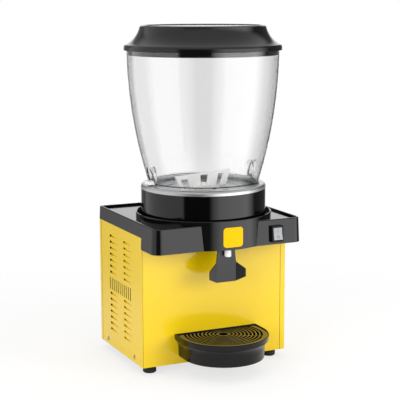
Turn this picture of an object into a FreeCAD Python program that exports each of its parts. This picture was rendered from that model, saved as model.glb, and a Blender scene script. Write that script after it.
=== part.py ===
import FreeCAD, Part
import math
import os
import re

import Sketcher

# Cold drink dispenser with one clear bowl on a cooled base, in millimetres.
# X runs across the front, Y from the tap side to the rear, Z up from the table.
# The origin lies on the table, under the middle of the whole outline.

SIZES = [
    # painted sheet body
    ("body_width", 344, "across the two painted sides"),
    ("body_depth", 253, "from the front panel's face to the rear panel's face"),
    ("body_height", 283, "height of the painted sides"),
    ("sheet", 1.2, "thickness of the body sheet"),
    ("bend_radius", 2.5, "outer radius of the folded sheet corners"),
    ("seam_gap", 0.8, "gap at the seams between two panels"),
    ("front_wrap", 12.6, "width that the right side panel folds round the front"),
    ("rear_wrap", 12.6, "width that the rear panel folds round each side"),
    ("front_flange", 12, "depth of the front panel's folded edges"),
    ("pan_flange", 22, "height of the base pan's upturned edge"),
    ("pan_slot_length", 70, "length of a vent slot in the base pan"),
    ("pan_slot_width", 6, "width of a vent slot in the base pan"),
    ("pan_slot_pitch", 14, "spacing of the vent slots in the base pan"),
    ("pan_slot_start", 70, "first vent slot, from the front of the body"),
    ("pan_slot_count", 7, "number of vent slots in the base pan"),
    # feet and screws
    ("foot_height", 17.7, "height of a rubber foot"),
    ("foot_radius", 14.5, "widest radius of a rubber foot"),
    ("foot_bevel", 2, "bevel round a foot's lower end"),
    ("foot_neck", 11, "radius of a foot under the base"),
    ("foot_neck_low", 7, "start of a foot's cone, down from its top"),
    ("foot_neck_high", 4, "end of a foot's cone, down from its top"),
    ("foot_inset", 26.4, "front feet to the side and to the front of the body"),
    ("rear_foot_side", 34, "rear feet to the side of the body"),
    ("rear_foot_inset", 16, "rear feet to the rear of the body"),
    ("screw_head", 4.3, "radius of a body screw's head"),
    ("screw_face", 3, "radius of the flat end of a screw's head"),
    ("screw_proud", 1.6, "height of a body screw's head"),
    ("screw_shank", 1.9, "radius of a body screw's shank"),
    ("screw_length", 8, "length of a body screw's shank"),
    ("screw_clearance", 0.3, "radial clearance of a screw in its hole"),
    ("screw_height", 12.5, "body screws above the body's lower edge"),
    ("screw_inset", 47.5, "side screws from the front and from the rear edge"),
    ("rear_screw_inset", 20, "rear screws from the side edges"),
    # louvres and slots in the sides
    ("louvre_length", 45, "length of a pressed louvre"),
    ("louvre_height", 6.4, "height of a louvre at its open end"),
    ("louvre_depth", 4.6, "depth of a louvre at its open end"),
    ("louvre_nose", 0.8, "height of a louvre at its closed end"),
    ("louvre_flat", 0.3, "flat middle of a louvre, as a share of its height"),
    ("louvre_skin", 0.9, "thickness of a louvre, measured up and down"),
    ("louvre_pitch", 13.8, "spacing of the louvres in a row"),
    ("louvre_rows", 7, "louvres in a group"),
    ("louvre_start", 61, "front louvre column from the front of the body"),
    ("louvre_column_pitch", 81, "front to rear louvre column"),
    ("upper_louvre_top", 27.7, "highest louvre, down from the top of the side"),
    ("lower_louvre_top", 159, "highest louvre of the lower group, down from the top"),
    ("slot_width", 4, "width of an upright side slot"),
    ("slot_height", 27.8, "height of an upright side slot"),
    ("slot_pitch", 12.2, "spacing of the upright side slots"),
    ("slot_count", 11, "number of upright side slots"),
    ("slot_start", 64.5, "first upright slot from the front of the body"),
    ("slot_top", 122.4, "top of the upright slots, down from the top of the side"),
    # rear panel openings
    ("rear_vent_length", 96, "length of a rear vent slot"),
    ("rear_vent_height", 5, "height of a rear vent slot"),
    ("rear_vent_pitch", 13, "spacing of the rear vent slots"),
    ("rear_vent_rows", 9, "rear vent slots in a column"),
    ("rear_vent_split", 20, "sheet left between the two columns of rear vents"),
    ("rear_vent_top", 60, "highest rear vent, down from the top of the panel"),
    ("gland_radius", 7.5, "radius of the cord gland's body"),
    ("gland_head", 11, "radius of the cord gland's flange"),
    ("gland_proud", 3.5, "how far the gland's flange stands out"),
    ("gland_depth", 12, "depth of the gland inside the panel"),
    ("gland_bore", 3.8, "radius of the gland's bore"),
    ("gland_inset", 45, "gland from the side of the body"),
    ("gland_rise", 42, "gland above the body's lower edge"),
    # top deck moulding
    ("deck_overhang", 0.45, "deck's sides outside the painted sides, where it rests on them"),
    ("deck_rear_overhang", 3, "deck's rear edge behind the rear panel, at its foot"),
    ("deck_height", 29.3, "height of the deck's side skirt"),
    ("front_drop", 24.4, "extra height of the skirt round the front"),
    ("wing_reach", 71.4, "deck's front face ahead of the body"),
    ("deck_corner", 20, "radius of the deck's front corners"),
    ("deck_rear_corner", 8, "radius of the deck's rear corners"),
    ("deck_wall", 3, "wall of the deck moulding"),
    ("deck_draft", 2.5, "lean of the deck's skirt, in degrees"),
    ("rim_width", 5.2, "width of the raised rim round the deck"),
    ("rim_drop", 4.5, "deck floor below its rim"),
    ("rim_inner_corner", 3, "radius of the deck floor's rear corners"),
    ("rim_round", 3, "rounding along the rim's outer edge"),
    ("edge_break", 0.9, "bevel along the deck's other upper edges"),
    ("well_radius", 147.9, "outer radius of the round well and of the front bulge"),
    ("well_wall", 3, "wall of the well's ring"),
    ("lip_rise", 8, "well ring above the deck's rim"),
    ("well_drop", 7.5, "well floor below the deck floor"),
    ("well_opening", 110, "radius of the opening in the well floor"),
    ("axis_inset", 61.9, "bowl axis behind the front panel's face"),
    ("rib_height", 12, "height of the ribs under the deck"),
    ("rib_thickness", 2, "thickness of the ribs under the deck"),
    # collar, cooled plate and insulation
    ("collar_radius", 136, "outer radius of the black collar"),
    ("collar_wall", 3, "wall of the collar"),
    ("collar_height", 71.3, "height of the collar above the well floor"),
    ("collar_foot", 118, "inner radius of the collar's foot flange"),
    ("ring_height", 10.5, "height of the steel ring over the collar"),
    ("ring_shoulder", 8, "outer rounding of the steel ring"),
    ("ring_inner", 122.5, "radius where the ring's top turns inwards"),
    ("ring_lip", 3, "inner rounding of the steel ring"),
    ("steel", 1.2, "thickness of the stainless plate"),
    ("seat_depth", 9.8, "bowl seat below the ring's top"),
    ("step_radius", 106, "radius of the first step in the cooled plate"),
    ("disc_radius", 84, "radius of the plate's middle disc"),
    ("plate_depth", 12.8, "middle disc below the ring's top"),
    ("step_rise", 1.5, "height of the step round the middle disc"),
    ("pin_radius", 4, "radius of the paddle's pin"),
    ("pin_height", 9, "height of the paddle's pin over the disc"),
    ("gasket_height", 4, "height of the bowl gasket"),
    ("gasket_width", 5, "width of the bowl gasket"),
    ("outlet_reach", 97, "outlet tube ahead of the bowl axis"),
    ("outlet_radius", 6, "outer radius of the outlet tube"),
    ("outlet_wall", 1.2, "wall of the outlet tube"),
    ("jacket_inner", 44, "inner radius of the evaporator jacket"),
    ("jacket_outer", 84, "outer radius of the evaporator jacket"),
    ("jacket_height", 8, "height of the evaporator jacket"),
    ("foam_bore", 38, "radius of the hole for the mixer drive"),
    ("foam_gap", 0.3, "clearance round the insulation"),
    # mixer drive
    ("magnet_radius", 30, "radius of the driving magnet"),
    ("magnet_height", 8, "height of the driving magnet"),
    ("magnet_gap", 1.5, "air gap under the plate"),
    ("magnet_hub", 9, "radius of the magnet's hub"),
    ("magnet_hub_height", 9, "height of the magnet's hub"),
    ("shaft_short", 2, "end of the motor's shaft below the magnet's top"),
    ("magnet_skin", 1.7, "magnet left over the end of the shaft"),
    ("shaft_radius", 4, "radius of the mixer motor's shaft"),
    ("running_fit", 0.05, "radial clearance of a running fit"),
    ("motor_radius", 33, "radius of the mixer motor"),
    ("motor_height", 40, "height of the mixer motor"),
    ("motor_can_radius", 24, "radius of the motor can under the gearbox"),
    ("motor_can_height", 34, "height of the motor can under the gearbox"),
    ("motor_can_bevel", 3, "bevel round the foot of the motor can"),
    ("strap_width", 62, "width of the motor strap"),
    ("strap_length", 256, "length of the motor strap"),
    ("strap_sheet", 2, "thickness of the motor strap"),
    # mixer paddle
    ("paddle_length", 167, "length of the paddle's top edge"),
    ("paddle_foot_length", 137, "length of the paddle's lower edge"),
    ("paddle_height", 32, "height of the paddle over the plate"),
    ("paddle_blade", 3.2, "thickness of the paddle's blade"),
    ("paddle_gap", 1.5, "paddle above the plate"),
    ("paddle_turn", 19, "paddle's turn from the front at rest, in degrees"),
    ("paddle_band", 5, "height of the band along the paddle's top"),
    ("hub_radius", 27, "radius of the paddle's magnet hub"),
    ("hub_height", 5, "height of the paddle's magnet hub"),
    ("hub_edge", 0.6, "height of the hub's upright edge, as a share of its height"),
    ("hub_crown", 0.85, "radius of the hub's flat top, as a share of its radius"),
    ("paddle_socket_wall", 3, "wall round the paddle's pin"),
    ("socket_cone", 2, "width and height of the cone under the socket"),
    ("paddle_end_gap", 0.5, "gap over the end of the paddle's pin"),
    # bowl
    ("bowl_height", 296, "height of the bowl"),
    ("bowl_top_radius", 164.6, "outer radius of the bowl's top edge"),
    ("bowl_foot_radius", 121, "outer radius of the bowl above its spigot"),
    ("bowl_curve", 1000, "radius of the bowl's bellied side, seen from the side"),
    ("bowl_wall", 3, "wall of the bowl"),
    ("spigot_gap", 2.1, "spigot inside the wall of the seat"),
    ("spigot_height", 10, "height of the spigot"),
    ("spigot_flare", 3, "height of the flare inside the bowl, over its spigot"),
    ("niche_width", 26, "width of the arched niche over a lug"),
    ("niche_height", 34.4, "height of the arched niche over a lug"),
    ("niche_reach", 118, "niche's flat back from the bowl axis"),
    ("lug_width", 22, "width of a lug"),
    ("lug_length", 14.5, "how far a lug reaches outwards"),
    ("lug_height", 6.6, "height of a lug"),
    ("lug_lift", 3.2, "gap under a lug, over the steel ring"),
    # lid
    ("lid_radius", 170, "outer radius of the lid's rim"),
    ("lid_band", 7.4, "height of the lid's upright rim"),
    ("lid_height", 52.2, "height of the lid"),
    ("lid_top_radius", 134.6, "radius of the lid's flat top"),
    ("lid_curve", 57.5, "radius of the lid's hollow flank"),
    ("lid_flank_radius", 191.5, "centre of the hollow flank, from the axis"),
    ("lid_flank_height", 63, "centre of the hollow flank, above the lid's lower edge"),
    ("lid_step", 4, "height and width of the step over the lid's rim"),
    ("lid_crown", 2, "bevel round the lid's top"),
    ("lid_rim", 8, "width of the raised rim round the lid's top panel"),
    ("lid_panel_drop", 2, "lid's top panel below its raised rim"),
    ("lid_wall", 2.6, "wall of the lid"),
    ("lid_foot_wall", 1.6, "wall of the lid over the bowl's edge"),
    ("lid_channel", 4, "depth of the lid's channel over the bowl's edge"),
    ("lid_skirt", 10, "length of the skirt inside the bowl"),
    ("lid_clearance", 1, "clearance between the skirt and the bowl"),
    # tap
    ("pivot_reach", 72, "lever's pivot ahead of the front panel's face"),
    ("pivot_rise", 10.7, "lever's pivot above the front skirt's lower edge"),
    ("pivot_radius", 2.5, "radius of the lever's pin"),
    ("pivot_boss", 5, "radius of the lever's ears round the pin"),
    ("pin_reach", 1.5, "pin's ends outside the lever's ears"),
    ("block_half", 15.8, "half width of the tap block"),
    ("block_front", 78, "front of the tap block ahead of the body"),
    ("block_back", 28, "back of the tap block ahead of the body"),
    ("block_rise", 2, "tap block above the front skirt's lower edge"),
    ("block_height", 18, "height of the tap block"),
    ("column_depth", 23.5, "depth of the tap block's valve column"),
    ("post_half", 34, "half width over the tap block's posts"),
    ("post_width", 9, "width of a post"),
    ("post_front", 66, "front of the posts ahead of the body"),
    ("bar_depth", 15, "depth of the bar that joins the posts"),
    ("channel_drop", 5, "drink channel below the tap block's top"),
    ("channel_radius", 2.5, "radius of the drink channel in the tap block"),
    ("spout_reach", 60, "spout ahead of the front panel's face"),
    ("spout_radius", 7, "radius of the spout"),
    ("spout_wall", 1.6, "wall of the spout"),
    ("spout_drop", 18.5, "spout's lower end below the front skirt"),
    ("plunger_radius", 3, "radius of the valve plunger"),
    ("plunger_head", 8, "radius of the plunger's head"),
    ("plunger_below", 0.5, "plunger's end below the drink channel"),
    ("head_height", 3, "height of the plunger's head"),
    ("spring_radius", 6, "mean radius of the valve spring"),
    ("spring_wire", 1.1, "thickness of the valve spring's flat wire"),
    ("spring_turns", 3, "turns of the valve spring"),
    ("lever_plate", 3, "thickness of the tap lever"),
    ("lever_reach", 52.5, "lever's front face ahead of the front panel"),
    ("lever_half", 20.4, "half width of the lever's neck"),
    ("lever_hip", 23, "half width of the lever at its folds"),
    ("wing_overlap", 0.5, "how far a wing starts inside the lever's plate"),
    ("lever_tip", 42.5, "half width over the lever's cup wings"),
    ("lever_flare", 8, "how far the wings lean forwards"),
    ("lever_low", 75.5, "lever's lower edge below the front skirt"),
    ("wing_low", 66, "lower corner of the wing tips below the front skirt"),
    ("wing_high", 49, "upper corner of the wing tips below the front skirt"),
    ("hip_high", 33, "start of the wings below the front skirt"),
    ("neck_low", 8, "lower end of the lever's straight neck below the front skirt"),
    ("neck_high", 0.7, "upper end of the lever's neck above the front skirt"),
    ("finger_start", 5, "lifting fingers behind the pivot, front end"),
    ("finger_end", 15, "lifting fingers behind the pivot, rear end"),
    ("ear_gap", 0.8, "gap between the lever's ears and the tap block"),
    # switch
    ("switch_inset", 63.65, "switch from the deck's side"),
    ("switch_rise", 23, "switch's middle above the front skirt's lower edge"),
    ("bezel_width", 27, "width of the switch's bezel"),
    ("bezel_height", 34.6, "height of the switch's bezel"),
    ("bezel_proud", 8, "bezel's height over the deck"),
    ("switch_body_width", 24, "width of the switch's body"),
    ("switch_body_height", 30, "height of the switch's body"),
    ("switch_body_depth", 20, "depth of the switch behind the deck"),
    ("rocker_width", 20, "width of the rocker"),
    ("rocker_height", 26, "height of the rocker"),
    ("rocker_gap", 0.4, "gap round the rocker"),
    ("rocker_proud", 2, "how far the rocker's ends stand out of the bezel"),
    ("rocker_axis", 2.2, "rocker's axis behind the bezel's face"),
    ("rocker_root", 2.5, "rocker's ends behind its axis"),
    ("rocker_end", 0.9, "height of the rocker's inner side, as a share of its height"),
    ("rocker_tilt", 8, "lean of the rocker each way, in degrees"),
    ("rocker_pocket", 11.2, "depth of the rocker's pocket behind the bezel's face"),
    # drip tray and grille
    ("tray_reach", 137, "drip tray's front ahead of the front panel"),
    ("tray_radius", 98.1, "radius of the drip tray's round front"),
    ("tray_gap", 0.3, "gap between the tray and the front panel"),
    ("tray_top", 66.9, "tray's rim above the body's lower edge"),
    ("tray_height", 49.6, "height of the drip tray"),
    ("tray_band", 12, "height of the tray's rim band"),
    ("tray_band_inset", 1, "how far the rim band leans in"),
    ("tray_edge", 1, "bevel along the tray's rim"),
    ("tray_neck_curve", 24, "radius of the hollow curve under the rim band"),
    ("tray_neck", 9, "how far the tray draws in under its rim band"),
    ("tray_neck_height", 14, "height of the hollow curve under the rim band"),
    ("tray_wall", 2.5, "wall of the drip tray"),
    ("grille_seat", 5.5, "depth of the grille's seat in the tray"),
    ("grille_ledge", 4.5, "width of the ledge that carries the grille"),
    ("grille_thickness", 3.6, "thickness of the drip grille"),
    ("grille_gap", 0.5, "gap round the drip grille"),
    ("grille_rim", 3.4, "width of the grille's rim"),
    ("grille_first", 18, "radius of the first slot's middle"),
    ("grille_pitch", 8.1, "spacing of the slots"),
    ("grille_slots", 9, "number of round slots"),
    ("grille_slot", 4.2, "width of a slot"),
    ("grille_hole", 10, "radius of the hole in the grille's hub"),
    ("grille_ribs", 12, "number of ribs that hold the rings"),
    ("grille_rib", 3, "width of a rib"),
    ("grille_rib_height", 1.4, "height of a rib"),
    ("hook_spread", 60, "tray hook from the middle"),
    ("hook_width", 16, "width of a tray hook"),
    ("hook_low", 32, "neck of a hook above the body's lower edge"),
    ("hook_neck", 8, "height of a hook's neck"),
    ("hook_lip", 8, "length of a hook's lip behind the panel"),
    ("hook_sheet", 2.5, "thickness of a hook's lip"),
    ("hook_clearance", 0.4, "clearance of a hook in its slot"),
    ("tray_lift", 10, "lift that frees the tray's hooks"),
    # cooling machine
    ("can_radius", 56, "radius of the compressor"),
    ("can_height", 118, "height of the compressor"),
    ("can_dome", 22, "rounding of the compressor's ends"),
    ("can_inset", 82.6, "compressor's middle from the side of the body"),
    ("can_depth", 168, "compressor's middle behind the front panel"),
    ("can_plate_width", 130, "width of the compressor's base plate"),
    ("can_plate_depth", 112, "depth of the compressor's base plate"),
    ("can_plate_sheet", 2.5, "thickness of the compressor's base plate"),
    ("grommet_radius", 9, "radius of a rubber grommet"),
    ("grommet_height", 10, "height of a rubber grommet"),
    ("grommet_inset", 10, "grommet from the base plate's edges"),
    ("relay_width", 34, "width of the compressor's relay box"),
    ("relay_height", 44, "height of the compressor's relay box"),
    ("relay_depth", 20, "depth of the compressor's relay box"),
    ("condenser_gap", 9, "condenser from the left side panel"),
    ("condenser_thick", 44, "thickness of the condenser"),
    ("condenser_width", 134, "width of the condenser"),
    ("condenser_height", 190, "height of the condenser"),
    ("condenser_start", 58, "condenser behind the front panel's face"),
    ("condenser_rise", 54, "condenser above the body's lower edge"),
    ("fin_slots", 14, "gaps between the groups of condenser fins"),
    ("fin_slot", 4, "width of a gap between the fins"),
    ("fin_margin", 10, "closed edge of the condenser"),
    ("frame_sheet", 1.5, "thickness of the condenser's frame"),
    ("shroud_depth", 14, "depth of the fan shroud's ring"),
    ("shroud_radius", 60, "radius of the fan shroud's opening"),
    ("fan_radius", 56, "radius of the fan"),
    ("fan_hub", 17, "radius of the fan's hub"),
    ("fan_blades", 5, "number of fan blades"),
    ("fan_blade_sheet", 1.4, "thickness of a fan blade"),
    ("fan_pitch", 26, "twist of a fan blade, in degrees"),
    ("fan_width", 18, "depth of the fan"),
    ("blade_inset", 1, "fan blades inside the hub's faces"),
    ("blade_root", 0.8, "root of a blade, as a share of the hub's radius"),
    ("fan_motor_radius", 27, "radius of the fan motor"),
    ("fan_motor_length", 36, "length of the fan motor"),
    ("fan_shaft", 3, "radius of the fan motor's shaft"),
    ("fan_gap", 3, "clearance at the fan's two faces"),
    ("arm_width", 9, "width of an arm of the fan motor's bracket"),
    ("fan_arms", 3, "arms of the fan motor's bracket"),
    ("drier_radius", 9, "radius of the filter drier"),
    ("drier_length", 90, "length of the filter drier"),
    ("pipe_radius", 3, "radius of the refrigerant pipes"),
    ("pipe_bend", 16, "bend radius of the refrigerant pipes"),
    ("suction_reach", 64, "suction pipe behind the bowl axis"),
    ("suction_rise", 80, "suction pipe's lower run above the base"),
    ("discharge_rise", 30, "discharge pipe's run above the base"),
    # controls at the rear
    ("thermostat_width", 44, "width of the thermostat"),
    ("thermostat_height", 32, "height of the thermostat"),
    ("thermostat_depth", 22, "depth of the thermostat"),
    ("thermostat_offset", 92, "thermostat from the middle of the body"),
    ("thermostat_drop", 28, "thermostat's spindle, down from the top of the side"),
    ("spindle_radius", 3, "radius of the thermostat's spindle"),
    ("spindle_length", 15, "length of the thermostat's spindle"),
    ("spindle_inset", 0.2, "spindle's end inside the rear face"),
    ("spindle_slot", 1.2, "width and depth of the screwdriver slot"),
    ("spindle_hole", 6, "radius of the hole over the spindle"),
    ("terminal_gap", 10, "terminal block from the gland's flange"),
    ("terminal_length", 60, "length of the terminal block"),
    ("terminal_width", 20, "width of the terminal block"),
    ("terminal_height", 18, "height of the terminal block"),
]

# Places that follow from the driving sizes above.
PLACES = {
    "HALF": "body_width / 2",
    "DECK_HALF": "HALF + deck_overhang",
    "REAR": "(body_depth + tray_reach - gland_proud) / 2",
    "FRONT": "REAR - body_depth",
    "AXIS": "FRONT + axis_inset",
    "BASE": "foot_height",
    "SIDE_TOP": "BASE + body_height",
    "SKIRT": "SIDE_TOP - front_drop",
    "DECK_TOP": "SIDE_TOP + deck_height",
    "DECK_FLOOR": "DECK_TOP - rim_drop",
    "LIP_TOP": "DECK_TOP + lip_rise",
    "WELL_TOP": "DECK_FLOOR - well_drop",
    "WELL_UNDER": "WELL_TOP - deck_wall",
    "WELL_INNER": "well_radius - well_wall",
    "COLLAR_TOP": "WELL_TOP + collar_height",
    "RING_TOP": "COLLAR_TOP + ring_height",
    "SEAT": "RING_TOP - seat_depth",
    "SEAT_WALL": "ring_inner - ring_lip",
    "SPIGOT": "SEAT_WALL - spigot_gap",
    "PLATE_TOP": "RING_TOP - plate_depth",
    "PLATE_UNDER": "PLATE_TOP - steel",
    "BOWL_LOW": "SEAT + gasket_height",
    "BOWL_TOP": "BOWL_LOW + bowl_height",
    "LID_LOW": "BOWL_TOP - lid_channel",
    "PIVOT": "SKIRT + pivot_rise",
    "BLOCK_LOW": "SKIRT + block_rise",
    "BLOCK_TOP": "BLOCK_LOW + block_height",
    "WING_FACE": "FRONT - wing_reach + (switch_rise - front_drop) * tan(deck_draft)",
    "FINGER": "lever_plate",
    "HEAD_LOW": "BLOCK_TOP + 2 * ear_gap + FINGER",
    "TRAY_TOP": "BASE + tray_top",
    "TRAY_LOW": "TRAY_TOP - tray_height",
    "TRAY_CENTRE": "tray_reach - tray_radius",
    "MAGNET_TOP": "PLATE_UNDER - magnet_gap",
    "STRAP_TOP": "WELL_UNDER",
    "MOTOR_TOP": "STRAP_TOP + motor_height",
    "CAN_LOW": "BASE + sheet + grommet_height",
    "CAN_ACROSS": "HALF - can_inset",
    "CONDENSER_LOW": "BASE + condenser_rise",
    "CONDENSER_LEFT": "sheet + condenser_gap - HALF",
    "CONDENSER_RIGHT": "CONDENSER_LEFT + condenser_thick",
    "FAN_AXIS_Y": "condenser_start + condenser_width / 2",
    "FAN_AXIS_Z": "CONDENSER_LOW + condenser_height / 2",
}

doc = FreeCAD.newDocument("ColdDrinkDispenser")
sizes = doc.addObject("Spreadsheet::Sheet", "Sizes")
for row, (alias, number, meaning) in enumerate(SIZES, start=1):
    sizes.set(f"A{row}", alias)
    sizes.set(f"B{row}", str(number))
    sizes.setAlias(f"B{row}", alias)
    sizes.set(f"C{row}", meaning)
doc.recompute()
ALIASES = {alias for alias, number, meaning in SIZES}

# Two lengths closer than this are the same.
CLOSE = 0.01


def full(text):
    """A size or place in words, as an expression that the sheet can work out."""

    def swap(match):
        word = match.group(0)
        if word in PLACES:
            return "(" + full(PLACES[word]) + ")"
        return "Sizes." + word if word in ALIASES else word

    return re.sub(r"[A-Za-z_]+", swap, str(text))


def mm(text):
    """The present value of a size or place."""
    return float(sizes.evalExpression(full(text)))


def bind(thing, **texts):
    """Tie properties of an object to sizes of the sheet."""
    for name, text in texts.items():
        thing.setExpression(name.replace("__", "."), full(text))


def new_body(label, x="0", y="FRONT", z="0"):
    body = doc.addObject("PartDesign::Body", label)
    body.Label = label
    bind(body, Placement__Base__x=x, Placement__Base__y=y, Placement__Base__z=z)
    return body


def origin_of(body, role):
    return next(item for item in body.Origin.OriginFeatures if item.Role == role)


def new_sketch(body, plane, lift="0"):
    """A sketch on one of the body's own planes, lifted along the plane's normal."""
    sketch = body.newObject("Sketcher::SketchObject", "Sketch")
    sketch.AttachmentSupport = [(origin_of(body, plane + "_Plane"), "")]
    sketch.MapMode = "FlatFace"
    bind(sketch, AttachmentOffset__Base__z=lift)
    return sketch


def arc_between(start, end, radius):
    """An arc from start to end, turning left for a positive radius, and whether it runs backwards."""
    (x1, y1), (x2, y2) = start, end
    chord = math.hypot(x2 - x1, y2 - y1)
    rise = math.sqrt(max(radius * radius - chord * chord / 4, 0))
    side = 1 if radius > 0 else -1
    cx = (x1 + x2) / 2 - side * rise * (y2 - y1) / chord
    cy = (y1 + y2) / 2 + side * rise * (x2 - x1) / chord
    first = math.atan2(y1 - cy, x1 - cx)
    last = math.atan2(y2 - cy, x2 - cx)
    if side < 0:
        first, last = last, first
    circle = Part.Circle(FreeCAD.Vector(cx, cy, 0), FreeCAD.Vector(0, 0, 1), abs(radius))
    return Part.ArcOfCircle(circle, first, last), side < 0


def add_loop(sketch, points, closed=True):
    """An outline; a third entry is the radius of an arc to the next point."""
    spots = [(mm(point[0]), mm(point[1])) for point in points]
    ends = []
    for index, point in enumerate(points if closed else points[:-1]):
        start, end = spots[index], spots[(index + 1) % len(points)]
        backwards = False
        if len(point) == 3:
            edge, backwards = arc_between(start, end, mm(point[2]))
        else:
            edge = Part.LineSegment(FreeCAD.Vector(*start, 0), FreeCAD.Vector(*end, 0))
        number = sketch.addGeometry(edge)
        ends.append((number, 2, 1) if backwards else (number, 1, 2))
    for index, (number, first, last) in enumerate(ends if closed else ends[:-1]):
        after = ends[(index + 1) % len(ends)]
        sketch.addConstraint(Sketcher.Constraint("Coincident", number, last, after[0], after[1]))
    corners = [(number, first) for number, first, last in ends]
    if not closed:
        corners.append((ends[-1][0], ends[-1][2]))
    for index, (number, first) in enumerate(corners):
        for kind, text, value in zip(("DistanceX", "DistanceY"), points[index], spots[index]):
            fixed = sketch.addConstraint(Sketcher.Constraint(kind, -1, 1, number, first, value))
            sketch.setExpression(f"Constraints[{fixed}]", full(text))
        if len(points[index]) == 3:
            radius = points[index][2]
            value = abs(mm(radius))
            fixed = sketch.addConstraint(Sketcher.Constraint("Radius", number, value))
            sketch.setExpression(f"Constraints[{fixed}]", f"abs({full(radius)})")


def add_circle(sketch, x, y, radius):
    centre = FreeCAD.Vector(mm(x), mm(y), 0)
    number = sketch.addGeometry(Part.Circle(centre, FreeCAD.Vector(0, 0, 1), mm(radius)))
    for kind, text in (("DistanceX", x), ("DistanceY", y)):
        fixed = sketch.addConstraint(Sketcher.Constraint(kind, -1, 1, number, 3, mm(text)))
        sketch.setExpression(f"Constraints[{fixed}]", full(text))
    fixed = sketch.addConstraint(Sketcher.Constraint("Radius", number, mm(radius)))
    sketch.setExpression(f"Constraints[{fixed}]", full(radius))


def box_loop(x1, y1, x2, y2):
    return [(x1, y1), (x2, y1), (x2, y2), (x1, y2)]


def feature(body, kind, **texts):
    made = body.newObject("PartDesign::" + kind, kind)
    bind(made, **texts)
    return made


def pad(body, sketch, length, down=False, middle=False, lean=None):
    made = feature(body, "Pad", Length=length)
    made.Profile = sketch
    made.Reversed = down
    made.Midplane = middle
    if lean:
        bind(made, TaperAngle=lean)
    return made


def pocket(body, sketch, length, down=False, middle=False, lean=None):
    """A pocket that has to take something away."""
    doc.recompute()
    before = body.Shape.Volume
    made = feature(body, "Pocket", Length=length)
    made.Profile = sketch
    made.Reversed = down
    made.Midplane = middle
    if lean:
        bind(made, TaperAngle=lean)
    doc.recompute()
    if body.Shape.Volume >= before - 1e-6:
        raise ValueError(f"a pocket of {body.Label} cuts nothing")
    return made


def turned(body, sketch, angle="360", cut=False, middle=False, down=False):
    """A revolution, or a groove, about the sketch's upright axis."""
    made = feature(body, "Groove" if cut else "Revolution", Angle=angle)
    made.Profile = sketch
    made.ReferenceAxis = (sketch, ["V_Axis"])
    made.Midplane = middle
    made.Reversed = down
    return made


def row_of(body, originals, axis, step, count, axis2=None, step2="0", count2="1"):
    """Copies of features along one or two of the body's own axes."""
    doc.recompute()
    made = body.newObject("PartDesign::LinearPattern", "LinearPattern")
    made.Originals = originals
    made.Direction = (origin_of(body, axis + "_Axis"), [""])
    bind(made, Length=f"({step}) * ({count} - 1)", Occurrences=count)
    if axis2:
        made.Direction2 = (origin_of(body, axis2 + "_Axis"), [""])
        bind(made, Length2=f"({step2}) * ({count2} - 1)", Occurrences2=count2)
    body.Tip = made
    return made


def level_edges(body, height):
    """Names and middles of the edges that lie level at a height."""
    doc.recompute()
    level = mm(height)
    found = {}
    for index, edge in enumerate(body.Shape.Edges, start=1):
        box = edge.BoundBox
        if max(abs(box.ZMin - level), abs(box.ZMax - level)) < CLOSE:
            found[f"Edge{index}"] = edge.CenterOfMass
    return found


def soften(body, kind, size, names):
    """Round edges with a Fillet, or bevel them with a Chamfer."""
    before = body.Tip
    made = body.newObject("PartDesign::" + kind, kind)
    made.Base = (before, list(names))
    bind(made, **{"Radius" if kind == "Fillet" else "Size": size})
    return made


def padded(label, plane, loops, length, lift="0", place=("0", "FRONT", "0"), middle=False, down=False):
    """A body made of one padded outline."""
    body = new_body(label, *place)
    sketch = new_sketch(body, plane, lift)
    for loop in loops:
        if isinstance(loop, tuple):
            add_circle(sketch, *loop)
        else:
            add_loop(sketch, loop)
    pad(body, sketch, length, down, middle)
    return body


def revolved(label, points, place=("0", "AXIS", "0")):
    """A body turned from one outline of radius and height."""
    body = new_body(label, *place)
    sketch = new_sketch(body, "XZ")
    add_loop(sketch, points)
    turned(body, sketch)
    return body


def mirrored(label, source):
    """The same piece for the other side."""
    made = doc.addObject("Part::Mirroring", label)
    made.Label = label
    made.Source = source
    made.Normal = FreeCAD.Vector(1, 0, 0)
    return made


def group_of(label, piece, spots):
    """Several copies of one small piece in one node, each a solid of its own."""
    doc.recompute()
    made = doc.addObject("Part::Feature", label)
    made.Label = label
    copies = []
    for x, y, z, axis, angle in spots:
        copy = piece.Shape.copy()
        turn = FreeCAD.Rotation(FreeCAD.Vector(*axis), angle)
        copy.Placement = FreeCAD.Placement(FreeCAD.Vector(mm(x), mm(y), mm(z)), turn)
        copies.append(copy)
    made.Shape = Part.makeCompound(copies)
    return made


def ring_of(body, originals, axis, count):
    """Copies of features round one of the body's own axes."""
    doc.recompute()
    made = body.newObject("PartDesign::PolarPattern", "PolarPattern")
    made.Originals = originals
    made.Axis = (origin_of(body, axis + "_Axis"), [""])
    made.Angle = 360
    bind(made, Occurrences=count)
    body.Tip = made


PARTS = []
AXIS_PLACE = ("0", "AXIS", "0")


def rubber_feet():
    """Four turned rubber feet, wider at their middle than under the base."""
    piece = new_body("foot", y="0")
    sketch = new_sketch(piece, "XZ")
    outline = [
        ("0", "0"),
        ("foot_radius - foot_bevel", "0"),
        ("foot_radius", "foot_bevel"),
        ("foot_radius", "foot_height - foot_neck_low"),
        ("foot_neck", "foot_height - foot_neck_high"),
        ("foot_neck", "foot_height"),
        ("0", "foot_height"),
    ]
    add_loop(sketch, outline)
    turned(piece, sketch)
    spots = []
    for side in ("-1", "1"):
        for inset, y in (("foot_inset", "FRONT + foot_inset"), ("rear_foot_side", "REAR - rear_foot_inset")):
            spots.append((f"{side} * (HALF - {inset})", y, "0", (0, 0, 1), 0))
    PARTS.append(group_of("rubber_feet", piece, spots))


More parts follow.
